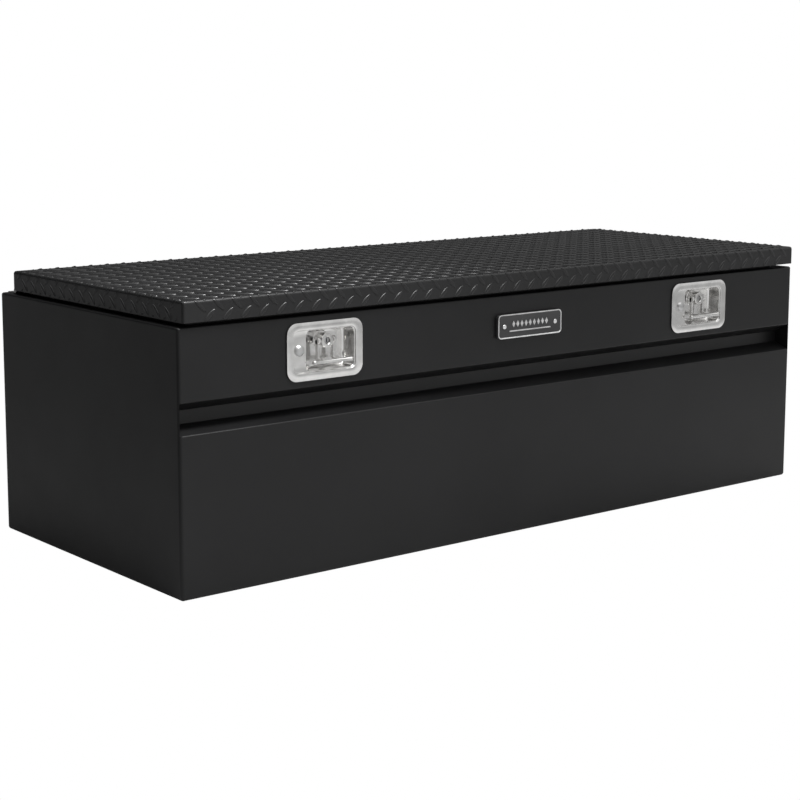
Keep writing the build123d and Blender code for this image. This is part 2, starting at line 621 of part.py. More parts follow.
def latch_key():
    """The lock cylinder with its key slot."""
    key = disc(KEY_R, HUB_FACE, HUB_FACE + KEY_LENGTH)
    width, height, depth = KEY_SLOT
    slot = Pos(HUB_U, HUB_W, -(HUB_FACE + depth)) * Rectangle(height, width)
    return key - extrude(slot, 2 * depth)


def arm_outline():
    """A handle arm seen from its side, as w and the distance outward: a boss, a leg and a foot to the bar."""
    foot_w = HUB_W - HANDLE_REACH
    reach = PIVOT_V - HANDLE_V
    leg = Pos(HUB_W - HANDLE_REACH / 2, -PIVOT_V) * Rectangle(HANDLE_REACH, ARM_DEPTH)
    heel = Pos(foot_w, -PIVOT_V) * Circle(ARM_DEPTH / 2)
    foot = Pos(foot_w, -HANDLE_V - reach / 2) * Rectangle(ARM_DEPTH, reach)
    return Pos(HUB_W, -PIVOT_V) * Circle(ARM_BOSS_R) + leg + heel + foot


def latch_handle():
    """The folding T handle: two arms at the hub's sides whose feet carry a round cross bar."""
    arm_inside = HUB_R + ARM_GAP
    arm_outside = arm_inside + ARM_SHEET
    bar_half = HANDLE_BAR / 2 - HANDLE_R
    bar_w = HUB_W - HANDLE_REACH
    handle = rod((HUB_U - bar_half, bar_w, -HANDLE_V), (1, 0, 0), 2 * bar_half, HANDLE_R)
    for start in (HUB_U - arm_outside, HUB_U + arm_inside):
        side = Plane((start, 0, 0), x_dir=(0, 1, 0), z_dir=(1, 0, 0))
        handle = handle + extrude(side * arm_outline(), ARM_SHEET)
    for end in (-bar_half, bar_half):
        handle = handle + Pos(HUB_U + end, bar_w, -HANDLE_V) * Sphere(HANDLE_R)
    bore_start = (HUB_U - arm_outside - OVERRUN, HUB_W, -PIVOT_V)
    return handle - rod(bore_start, (1, 0, 0), 2 * (arm_outside + OVERRUN), TRUNNION_R + SHAFT_GAP)


def latch_cam():
    """The flat cam on the spindle's square, pointing up while the latch is released."""
    arm = Pos(HUB_U, HUB_W + CAM_LENGTH / 2, -(CAM_V + CAM_SHEET)) * Rectangle(2 * CAM_HALF_WIDTH, CAM_LENGTH)
    boss = Pos(HUB_U, HUB_W, -(CAM_V + CAM_SHEET)) * Circle(CAM_NUT_R + CAM_BOSS_RIM)
    hole = Rectangle(CAM_SQUARE, CAM_SQUARE) & Circle(SPINDLE_R)
    return extrude(arm + boss - Pos(HUB_U, HUB_W, -(CAM_V + CAM_SHEET)) * hole, CAM_SHEET)


def latch_cam_nut():
    """The nut that holds the cam."""
    low = CAM_V + CAM_SHEET
    face = RegularPolygon(CAM_NUT_R, 6) - Circle(CAM_STUD_R)
    return extrude(Pos(HUB_U, HUB_W, -(low + CAM_NUT_H)) * face, CAM_NUT_H)


def latch_clamp():
    """A strip behind the front panel that the shelf bolt pulls up against it."""
    height = TUB_HEIGHT + 2 * (TUB_GAP + CLAMP_OVERLAP)
    strip = slab(CLAMP_WIDTH, height, SHEET, SHEET, 2 * SHEET, SHELF_BOLT_U, 0)
    return strip - disc(SHELF_BOLT_R + SHAFT_GAP, 0, 3 * SHEET, SHELF_BOLT_U, SHELF_BOLT_W)


def latch_shelf_bolt():
    """The dome-headed bolt in the shelf, with its nut behind the clamp strip."""
    shelf = SHEET - PAN_SHEET
    head_r = SHELF_BOLT_HEAD_R
    dome_r = (head_r**2 + SHELF_BOLT_HEAD_H**2) / (2 * SHELF_BOLT_HEAD_H)
    centre = Pos(SHELF_BOLT_U, SHELF_BOLT_W, -shelf + SHELF_BOLT_HEAD_H - dome_r)
    cap = disc(head_r, shelf - 2 * SHELF_BOLT_HEAD_H, shelf, SHELF_BOLT_U, SHELF_BOLT_W)
    head = centre * Sphere(dome_r) & cap
    nut_low = 2 * SHEET
    end = nut_low + SHELF_BOLT_NUT_H + SHELF_BOLT_TAIL
    shank = disc(SHELF_BOLT_R, shelf, end, SHELF_BOLT_U, SHELF_BOLT_W)
    return head + shank


def latch_shelf_nut():
    """The nut on the shelf bolt."""
    face = RegularPolygon(2 * SHELF_BOLT_R, 6) - Circle(SHELF_BOLT_R)
    low = 2 * SHEET
    return extrude(Pos(SHELF_BOLT_U, SHELF_BOLT_W, -(low + SHELF_BOLT_NUT_H)) * face, SHELF_BOLT_NUT_H)


def latches():
    """Both latches, the same part fitted twice."""
    makers = {
        "pan": latch_pan,
        "gasket": latch_gasket,
        "hub": latch_hub,
        "trunnions": latch_trunnions,
        "key_cylinder": latch_key,
        "handle": latch_handle,
        "cam": latch_cam,
        "cam_nut": latch_cam_nut,
        "clamp": latch_clamp,
        "shelf_bolt": latch_shelf_bolt,
        "shelf_nut": latch_shelf_nut,
    }
    for name, maker in makers.items():
        piece = maker()
        for side, x in latch_places().items():
            parts[f"latch_{side}_{name}"] = latch_frame(x) * piece


def strikers():
    """Hanging straps under the lid whose feet the cams hold down."""
    strap_v = CAM_V + STRIKER_STRAP_BEHIND
    strap_y = (FRONT + strap_v, FRONT + strap_v + STRIKER_SHEET)
    foot_top = LATCH_Z + HUB_W - CAM_HALF_WIDTH - STRIKER_CAM_GAP
    for side, x in latch_places().items():
        low = x + HUB_U + STRIKER_FROM_HUB
        u = (low, low + STRIKER_WIDTH)
        strap = box(u, strap_y, (foot_top - STRIKER_SHEET, LID_UNDERSIDE))
        top_y = (strap_y[0], strap_y[0] + STRIKER_TOP)
        strap = strap + box(u, top_y, (LID_UNDERSIDE - STRIKER_SHEET, LID_UNDERSIDE))
        foot_y = (FRONT + CAM_V - STRIKER_FOOT_AHEAD, strap_y[1])
        strap = strap + box(u, foot_y, (foot_top - STRIKER_SHEET, foot_top))
        parts[f"striker_{side}"] = strap


# ---------------------------------------------------------------- badge


def badge():
    """A plain raised plate with a border, held by two rivets."""
    plane = Plane((0, FRONT, BADGE_Z), x_dir=(1, 0, 0), z_dir=(0, -1, 0))
    plate = slab(BADGE_WIDTH, BADGE_HEIGHT, BADGE_R, -BADGE_THICKNESS, 0)
    inside = 2 * BADGE_BORDER
    face = (BADGE_WIDTH - inside, BADGE_HEIGHT - inside, BADGE_R - BADGE_BORDER / 2)
    plate = plate - slab(*face, -BADGE_THICKNESS - OVERRUN, -BADGE_THICKNESS + BADGE_RECESS)
    rivets = []
    for u in (-BADGE_RIVET_X, BADGE_RIVET_X):
        plate = plate - disc(BADGE_RIVET_R + SHAFT_GAP, -2 * BADGE_THICKNESS, OVERRUN, u, 0)
        seat = (u, FRONT - BADGE_THICKNESS + BADGE_RECESS, BADGE_Z)
        grip = BADGE_THICKNESS - BADGE_RECESS + SHEET
        head = (BADGE_RIVET_HEAD_R, BADGE_RIVET_HEAD_H, BADGE_RIVET_R)
        rivets.append(dome_rivet(seat, (0, -1, 0), *head, grip, RIVET_TAIL_R, RIVET_TAIL_H))
    parts["badge_plate"] = plane * plate
    parts["badge_rivets"] = Compound(rivets)


panel_walls()
top_frame()
lid_seal()
lid_skin()
lid_stiffeners()
hinge()
gas_struts()
latches()
strikers()
badge()

os.makedirs("parts", exist_ok=True)
for node, solid in parts.items():
    export_step(solid, f"parts/{node}.step")
print(len(parts), "parts written")
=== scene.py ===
import json
import logging
import math
from dataclasses import dataclass, replace
from enum import Enum
from typing import ClassVar

import bmesh
import bpy
from bmesh.types import BMEdge, BMesh, BMFace, BMVert
from mathutils import Matrix, Vector


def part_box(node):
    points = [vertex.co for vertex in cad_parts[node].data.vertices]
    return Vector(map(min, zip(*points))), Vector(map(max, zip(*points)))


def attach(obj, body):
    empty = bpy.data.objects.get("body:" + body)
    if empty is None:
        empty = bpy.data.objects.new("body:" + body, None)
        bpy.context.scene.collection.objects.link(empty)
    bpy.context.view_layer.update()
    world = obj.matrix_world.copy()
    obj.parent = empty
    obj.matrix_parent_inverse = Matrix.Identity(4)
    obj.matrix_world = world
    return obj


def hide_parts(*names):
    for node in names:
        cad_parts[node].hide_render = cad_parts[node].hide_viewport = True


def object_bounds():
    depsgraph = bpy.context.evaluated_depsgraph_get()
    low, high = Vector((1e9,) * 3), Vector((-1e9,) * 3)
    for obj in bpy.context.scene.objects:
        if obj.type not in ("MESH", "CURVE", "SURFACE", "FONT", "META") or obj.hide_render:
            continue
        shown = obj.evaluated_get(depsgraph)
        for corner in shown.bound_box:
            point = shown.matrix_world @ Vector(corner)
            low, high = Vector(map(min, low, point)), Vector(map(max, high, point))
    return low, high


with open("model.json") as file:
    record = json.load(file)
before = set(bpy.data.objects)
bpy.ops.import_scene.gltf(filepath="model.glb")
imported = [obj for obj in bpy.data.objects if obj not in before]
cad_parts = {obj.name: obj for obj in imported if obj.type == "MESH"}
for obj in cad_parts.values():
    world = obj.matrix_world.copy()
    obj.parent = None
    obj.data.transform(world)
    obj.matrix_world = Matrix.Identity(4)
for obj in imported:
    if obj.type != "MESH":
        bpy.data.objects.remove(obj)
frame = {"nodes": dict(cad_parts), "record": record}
cad_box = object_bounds()

# Metres, in the solids' own frame: +X along the front to the right, +Y to the back, +Z up.
MM = 0.001
SMOOTH_ANGLE = math.radians(32)

logging.basicConfig(level=logging.INFO, format="%(message)s")
log = logging.getLogger("tool_box")


# ---------------------------------------------------------------- mesh tools


def onto_front(bm: BMesh, centre: Vector) -> None:
    """Turns a piece to face the front and moves it to its place.

    Args:
        bm: The piece, drawn with +X right, +Y up and +Z outward.
        centre: Where the piece's own origin goes.
    """
    turn = Matrix.Rotation(math.pi / 2, 4, "X")
    bmesh.ops.transform(bm, matrix=Matrix.Translation(centre) @ turn, verts=bm.verts)


def make_piece(
    bm: BMesh, name: str, finish: bpy.types.Material, smooth: float = SMOOTH_ANGLE,
) -> bpy.types.Object:
    """Turns a bmesh into a finished object at the origin.

    Args:
        bm: The geometry, already in the solids' frame; it is freed.
        name: The piece's name.
        finish: The material that it wears.
        smooth: Edges sharper than this angle stay crisp.

    Returns:
        The new object, linked to the scene.
    """
    for face in bm.faces:
        face.smooth = True
    for edge in bm.edges:
        edge.smooth = len(edge.link_faces) == 2 and edge.calc_face_angle(0.0) < smooth
    mesh = bpy.data.meshes.new(name)
    bm.to_mesh(mesh)
    bm.free()
    mesh.materials.append(finish)
    piece = bpy.data.objects.new(name, mesh)
    bpy.context.scene.collection.objects.link(piece)
    return piece


def seat(piece: bpy.types.Object, body: str, replaced: tuple[str, ...] = ()) -> None:
    """Says what a piece rides on and which solids it stands for.

    Args:
        piece: The finished piece.
        body: The moving body that it rides on.
        replaced: The solids that it stands for.
    """
    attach(piece, body)
    if replaced:
        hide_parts(*replaced)
    log.info("%s: %d faces on %s", piece.name, len(piece.data.polygons), body)


@dataclass(frozen=True)
class Loop:
    """A rounded rectangle at one height, one rung of a pressed or moulded shape."""

    width: float
    height: float
    radius: float
    level: float
    right: float = 0.0
    up: float = 0.0
    steps: int = 7

    def grown(self, by: float, level: float) -> "Loop":
        """The same outline, offset outward by a distance, at another height."""
        size = {"width": self.width + 2 * by, "height": self.height + 2 * by, "radius": self.radius + by}
        return replace(self, level=level, **size)

    def draw(self, bm: BMesh) -> BMFace:
        """Draws the outline as one flat face.

        Args:
            bm: Where it is drawn.

        Returns:
            The rounded face.
        """
        corners = bmesh.ops.create_grid(bm, x_segments=1, y_segments=1, size=0.5)["verts"]
        bmesh.ops.scale(bm, vec=(self.width, self.height, 1), verts=corners)
        bmesh.ops.translate(bm, vec=(self.right, self.up, self.level), verts=corners)
        known = set(bm.faces) - set(corners[0].link_faces)
        bmesh.ops.bevel(
            bm, geom=corners, offset=self.radius, offset_type="OFFSET", affect="VERTICES",
            segments=self.steps, profile=0.5, material=-1,
        )
        return next(face for face in bm.faces if face not in known)

    def ring(self, bm: BMesh) -> list[BMEdge]:
        """Draws the outline as a closed ring of edges.

        Args:
            bm: Where it is drawn.

        Returns:
            The ring's edges.
        """
        face = self.draw(bm)
        edges = list(face.edges)
        bmesh.ops.delete(bm, geom=[face], context="FACES_ONLY")
        return edges


def circle_ring(
    bm: BMesh, radius: float, level: float, right: float, up: float, count: int,
) -> list[BMEdge]:
    """Draws a closed ring of edges.

    Args:
        bm: Where it is drawn.
        radius: The circle's radius.
        level: Its height.
        right: Its centre to the right.
        up: Its centre upward.
        count: How many edges it has.

    Returns:
        The ring's edges.
    """
    verts = bmesh.ops.create_circle(bm, cap_ends=False, segments=count, radius=radius)["verts"]
    bmesh.ops.translate(bm, vec=(right, up, level), verts=verts)
    return list({edge for vert in verts for edge in vert.link_edges})


def bridge(bm: BMesh, rings: list[list[BMEdge]]) -> None:
    """Skins each pair of neighbouring rings."""
    for low, high in zip(rings, rings[1:]):
        bmesh.ops.bridge_loops(bm, edges=low + high)


def cap(bm: BMesh, ring: list[BMEdge]) -> None:
    """Closes a ring with one face."""
    bmesh.ops.contextual_create(bm, geom=ring)


def face_outward(bm: BMesh, sample: Vector) -> None:
    """Makes all faces agree, with the one nearest to a point facing +Z.

    Args:
        bm: The shell.
        sample: A point on a face that looks along +Z.
    """
    bmesh.ops.remove_doubles(bm, verts=bm.verts, dist=1e-6)
    bmesh.ops.recalc_face_normals(bm, faces=bm.faces)
    nearest = min(bm.faces, key=lambda face: (face.calc_center_median() - sample).length)
    if nearest.normal.z < 0:
        bmesh.ops.reverse_faces(bm, faces=bm.faces)


def roll(outline: Loop, radius: float, top: float, inward: bool, steps: int = 4) -> list[Loop]:
    """The rungs of a rounded edge between a flat and a wall.

    Args:
        outline: The wall's outline.
        radius: The edge's radius.
        top: The flat's height.
        inward: True for an edge that rolls over into a hollow, False for a fillet at its floor.
        steps: How many rungs after the first.

    Returns:
        The rungs, from the flat down the wall, or from the wall in to the floor.
    """
    rungs = []
    for step in range(steps + 1):
        turn = math.pi / 2 * step / steps
        if inward:
            by, drop = radius * (1 - math.sin(turn)), radius * (1 - math.cos(turn))
        else:
            by, drop = -radius * (1 - math.cos(turn)), radius * math.sin(turn)
        rungs.append(outline.grown(by, top - drop))
    return rungs


def lathe(
    bm: BMesh, profile: list[tuple[float, float]], centre: tuple[float, float], steps: int = 48,
) -> list[BMVert]:
    """Spins a profile of (radius, height) points round an upright axis.

    Args:
        bm: Where it is made.
        profile: The outline from one end to the other.
        centre: The axis's place to the right and upward.
        steps: How many steps make the full turn.

    Returns:
        The turned piece's vertices.
    """
    before = set(bm.verts)
    points = [bm.verts.new((centre[0] + radius, centre[1], height)) for radius, height in profile]
    edges = [bm.edges.new(pair) for pair in zip(points, points[1:])]
    bmesh.ops.spin(
        bm, geom=points + edges, cent=(*centre, 0), axis=(0, 0, 1), angle=2 * math.pi,
        steps=steps, use_merge=True,
    )
    fresh = [vert for vert in bm.verts if vert not in before]
    bmesh.ops.remove_doubles(bm, verts=fresh, dist=1e-7)
    return [vert for vert in bm.verts if vert not in before]


def rounded(
    corner: tuple[float, float], radius: float, steps: int, start: float,
) -> list[tuple[float, float]]:
    """Points of a quarter circle for a turned profile.

    Args:
        corner: The arc's centre as (radius, height).
        radius: The arc's own radius.
        steps: How many points after the first.
        start: The angle of the first point, in degrees.

    Returns:
        The points, turning anticlockwise.
    """
    turns = [math.radians(start + 90 * step / steps) for step in range(steps + 1)]
    return [(corner[0] + radius * math.cos(turn), corner[1] + radius * math.sin(turn)) for turn in turns]


# ---------------------------------------------------------------- shared shader effects


def new_group(name: str, inputs: dict[str, float], outputs: tuple[str, ...]) -> bpy.types.ShaderNodeTree:
    """Starts a shader node group.

    Args:
        name: The group's name.
        inputs: Each input's name and default value.
        outputs: The names of its outputs.

    Returns:
        The empty group with its two end nodes, named "in" and "out".
    """
    group = bpy.data.node_groups.new(name, "ShaderNodeTree")
    for label, value in inputs.items():
        socket = group.interface.new_socket(label, in_out="INPUT", socket_type="NodeSocketFloat")
        socket.default_value = value
    for label in outputs:
        group.interface.new_socket(label, in_out="OUTPUT", socket_type="NodeSocketFloat")
    group.nodes.new("NodeGroupInput").name = "in"
    group.nodes.new("NodeGroupOutput").name = "out"
    return group


def add_math(tree: bpy.types.NodeTree, kind: str, first: object, second: object) -> bpy.types.NodeSocket:
    """Adds a Math node.

    Args:
        tree: The tree that it goes in.
        kind: The operation.
        first: A socket or a number.
        second: A socket or a number.

    Returns:
        Its output.
    """
    node = tree.nodes.new("ShaderNodeMath")
    node.operation = kind
    for socket, value in zip(node.inputs, (first, second)):
        if isinstance(value, bpy.types.NodeSocket):
            tree.links.new(value, socket)
        else:
            socket.default_value = value
    return node.outputs[0]


def add_noise(
    tree: bpy.types.NodeTree, scale: object, detail: float, roughness: float = 0.5,
    stretch: tuple[float, float, float] | None = None,
) -> bpy.types.NodeSocket:
    """Adds a noise texture on Object coordinates.

    Args:
        tree: The tree that it goes in.
        scale: A socket or a number.
        detail: The noise's octaves.
        roughness: How strong the fine octaves are.
        stretch: How the pattern is scaled along each axis, if it is.

    Returns:
        The noise's value.
    """
    place = tree.nodes.new("ShaderNodeTexCoord").outputs["Object"]
    if stretch:
        mapping = tree.nodes.new("ShaderNodeMapping")
        mapping.inputs["Scale"].default_value = stretch
        tree.links.new(place, mapping.inputs["Vector"])
        place = mapping.outputs["Vector"]
    noise = tree.nodes.new("ShaderNodeTexNoise")
    noise.inputs["Detail"].default_value = detail
    noise.inputs["Roughness"].default_value = roughness
    tree.links.new(place, noise.inputs["Vector"])
    if isinstance(scale, bpy.types.NodeSocket):
        tree.links.new(scale, noise.inputs["Scale"])
    else:
        noise.inputs["Scale"].default_value = scale
    return noise.outputs[0]


def add_range(
    tree: bpy.types.NodeTree, value: bpy.types.NodeSocket,
    source: tuple[float, float], target: tuple[float, float],
) -> bpy.types.NodeSocket:
    """Maps a value from one range to another, clamped and smooth.

    Args:
        tree: The tree that it goes in.
        value: What is mapped.
        source: The range that it comes from.
        target: The range that it goes to.

    Returns:
        The mapped value.
    """
    node = tree.nodes.new("ShaderNodeMapRange")
    node.interpolation_type = "SMOOTHSTEP"
    tree.links.new(value, node.inputs["Value"])
    for label, number in zip(("From Min", "From Max", "To Min", "To Max"), (*source, *target)):
        node.inputs[label].default_value = number
    return node.outputs[0]


def close_group(
    group: bpy.types.ShaderNodeTree, swing: bpy.types.NodeSocket, outputs: dict[str, bpy.types.NodeSocket],
) -> None:
    """Wires a group's outputs, with a roughness that swings about its middle.

    Args:
        group: The group.
        swing: How far the roughness strays, about zero.
        outputs: Each other output's name and value.
    """
    ends = group.nodes
    stray = add_math(group, "MULTIPLY", swing, ends["in"].outputs["Spread"])
    rough = add_math(group, "ADD", ends["in"].outputs["Roughness"], stray)
    for label, value in {**outputs, "Rough": rough}.items():
        group.links.new(value, ends["out"].inputs[label])


def powder_grain() -> bpy.types.ShaderNodeTree:
    """The fine orange peel and slight cloudiness of baked powder coat.

    Returns:
        A group with the outputs Height, Cloud and Rough.
    """
    inputs = {"Scale": 900.0, "Roughness": 0.5, "Spread": 0.06}
    group = new_group("powder_grain", inputs, ("Height", "Cloud", "Rough"))
    peel = add_noise(group, group.nodes["in"].outputs["Scale"], 3.0, 0.6)
    cloud = add_noise(group, 5.0, 3.0)
    speck = add_noise(group, 1400.0, 1.0)
    height = add_math(group, "ADD", peel, add_math(group, "MULTIPLY", speck, 0.35))
    swing = add_math(group, "SUBTRACT", add_noise(group, 14.0, 4.0), 0.5)
    close_group(group, swing, {"Height": height, "Cloud": cloud})
    return group


def brushed_grain() -> bpy.types.ShaderNodeTree:
    """Fine parallel scratches with soft smudges, as on pressed or drawn steel.

    Returns:
        A group with the outputs Height, Rough and Tone.
    """
    group = new_group("brushed_grain", {"Roughness": 0.25, "Spread": 0.1}, ("Height", "Rough", "Tone"))
    line = add_noise(group, 1.0, 4.0, 0.7, (60.0, 2500.0, 2500.0))
    smudge = add_noise(group, 45.0, 3.0)
    swing = add_math(group, "SUBTRACT", add_math(group, "ADD", line, smudge), 1.0)
    close_group(group, swing, {"Height": line, "Tone": smudge})
    return group


def groups() -> dict[str, bpy.types.ShaderNodeTree]:
    """The shared groups, each built once."""
    return {"powder": powder_grain(), "brushed": brushed_grain()}


# ---------------------------------------------------------------- finishes


@dataclass(frozen=True)
class Finish:
    """What every finish has: a name, two tones that it varies between, a roughness and a grain."""

    tone_span: ClassVar[tuple[float, float]] = (0.35, 0.65)
    bump_depth: ClassVar[float] = 0.1 * MM

    name: str
    dark: tuple[float, float, float]
    light: tuple[float, float, float]
    roughness: float
    spread: float
    bump: float

    def start(
        self, effect: bpy.types.ShaderNodeTree, mask: str,
    ) -> tuple[bpy.types.Material, bpy.types.ShaderNode, bpy.types.ShaderNode]:
        """Makes the material, with its grain feeding its colour, its roughness and its relief.

        Args:
            effect: The grain's node group.
            mask: The group's output that the two tones follow.

        Returns:
            The material, its Principled shader and the grain's node.
        """
        material = bpy.data.materials.new(self.name)
        material.use_nodes = True
        tree = material.node_tree
        shader = tree.nodes["Principled BSDF"]
        grain = tree.nodes.new("ShaderNodeGroup")
        grain.node_tree = effect
        grain.inputs["Roughness"].default_value = self.roughness
        grain.inputs["Spread"].default_value = self.spread
        tree.links.new(grain.outputs["Rough"], shader.inputs["Roughness"])
        self.tone(tree, grain.outputs[mask], shader)
        self.relief(tree, grain.outputs["Height"], shader)
        return material, shader, grain

    def tone(
        self, tree: bpy.types.NodeTree, mask: bpy.types.NodeSocket, shader: bpy.types.ShaderNode,
    ) -> None:
        """Varies Base Color between the two tones.

        Args:
            tree: The material's tree.
            mask: What the tones follow.
            shader: The Principled shader.
        """
        ramp = tree.nodes.new("ShaderNodeValToRGB")
        steps = zip(ramp.color_ramp.elements, self.tone_span, (self.dark, self.light))
        for element, position, color in steps:
            element.position = position
            element.color = (*color, 1)
        tree.links.new(mask, ramp.inputs["Fac"])
        tree.links.new(ramp.outputs["Color"], shader.inputs["Base Color"])

    def relief(
        self, tree: bpy.types.NodeTree, height: bpy.types.NodeSocket, shader: bpy.types.ShaderNode,
    ) -> None:
        """Feeds a height to Normal through a Bump node.

        Args:
            tree: The material's tree.
            height: The surface's height.
            shader: The Principled shader.
        """
        bump = tree.nodes.new("ShaderNodeBump")
        bump.inputs["Strength"].default_value = self.bump
        bump.inputs["Distance"].default_value = self.bump_depth
        tree.links.new(height, bump.inputs["Height"])
        tree.links.new(bump.outputs["Normal"], shader.inputs["Normal"])


@dataclass(frozen=True)
class Coated(Finish):
    """A paint, coat, plastic or rubber: a dielectric skin with a fine peel."""

    grain: float = 900.0
    gloss: float = 0.3

    def material(self, shared: dict[str, bpy.types.ShaderNodeTree]) -> bpy.types.Material:
        """Builds the material.

        Args:
            shared: The shared node groups.

        Returns:
            The finished material.
        """
        material, shader, grain = self.start(shared["powder"], "Cloud")
        grain.inputs["Scale"].default_value = self.grain
        shader.inputs["Specular IOR Level"].default_value = self.gloss
        return material


@dataclass(frozen=True)
class Metal(Finish):
    """A bare or plated metal with fine drawn lines."""

    def material(self, shared: dict[str, bpy.types.ShaderNodeTree]) -> bpy.types.Material:
        """Builds the material.

        Args:
            shared: The shared node groups.

        Returns:
            The finished material.
        """
        material, shader, _ = self.start(shared["brushed"], "Tone")
        shader.inputs["Metallic"].default_value = 1.0
        return material


FINISHES: tuple[Finish, ...] = (
    Coated("body_powder_coat", (0.0042, 0.0042, 0.0045), (0.0062, 0.0062, 0.0066),
           0.42, 0.08, 0.22, gloss=0.32),
    Coated("lid_tread_plate", (0.0042, 0.0042, 0.0045), (0.0065, 0.0065, 0.0069),
           0.38, 0.08, 0.2, gloss=0.46),
    Coated("inner_powder_coat", (0.006, 0.006, 0.0063), (0.010, 0.010, 0.0105),
           0.5, 0.12, 0.3, gloss=0.35),
    Coated("rubber_seal", (0.006, 0.006, 0.006), (0.011, 0.011, 0.0105),
           0.75, 0.15, 0.5, grain=500.0, gloss=0.2),
    Coated("strut_black", (0.008, 0.008, 0.009), (0.012, 0.012, 0.013), 0.28, 0.06, 0.1, gloss=0.5),
    Coated("badge_black", (0.02, 0.02, 0.021), (0.032, 0.032, 0.033),
           0.3, 0.08, 0.2, grain=1500.0, gloss=0.6),
    Metal("hinge_stainless", (0.42, 0.42, 0.41), (0.52, 0.52, 0.51), 0.34, 0.16, 0.35),
    Metal("pan_stainless", (0.70, 0.695, 0.685), (0.82, 0.815, 0.805), 0.17, 0.12, 0.12),
    Metal("handle_stainless", (0.56, 0.555, 0.545), (0.68, 0.675, 0.665), 0.26, 0.14, 0.25),
    Metal("key_chrome", (0.42, 0.42, 0.42), (0.54, 0.54, 0.54), 0.2, 0.08, 0.1),
    Metal("zinc_plate", (0.42, 0.42, 0.42), (0.56, 0.56, 0.56), 0.34, 0.2, 0.4),
    Metal("strut_chrome", (0.66, 0.66, 0.67), (0.76, 0.76, 0.77), 0.1, 0.05, 0.05),
    Metal("rivet_aluminium", (0.7, 0.7, 0.7), (0.84, 0.84, 0.84), 0.28, 0.14, 0.2),
)


class Wardrobe:
    """The finished materials by their slot's name."""

    def __init__(self) -> None:
        """Builds every finish once."""
        shared = groups()
        self.materials = {finish.name: finish.material(shared) for finish in FINISHES}

    def dress(self, node: str, slot: str) -> None:
        """Puts a slot's finish on a solid's object.

        Args:
            node: The solid's name.
            slot: The slot's name.
        """
        mesh = frame["nodes"][node].data
        mesh.materials.clear()
        mesh.materials.append(self.materials[slot])

    def dress_all(self) -> None:
        """Puts each solid's own finish on it."""
        for part in frame["record"]["subparts"]:
            self.dress(part["node"], part["material_slot"])


# ---------------------------------------------------------------- lid


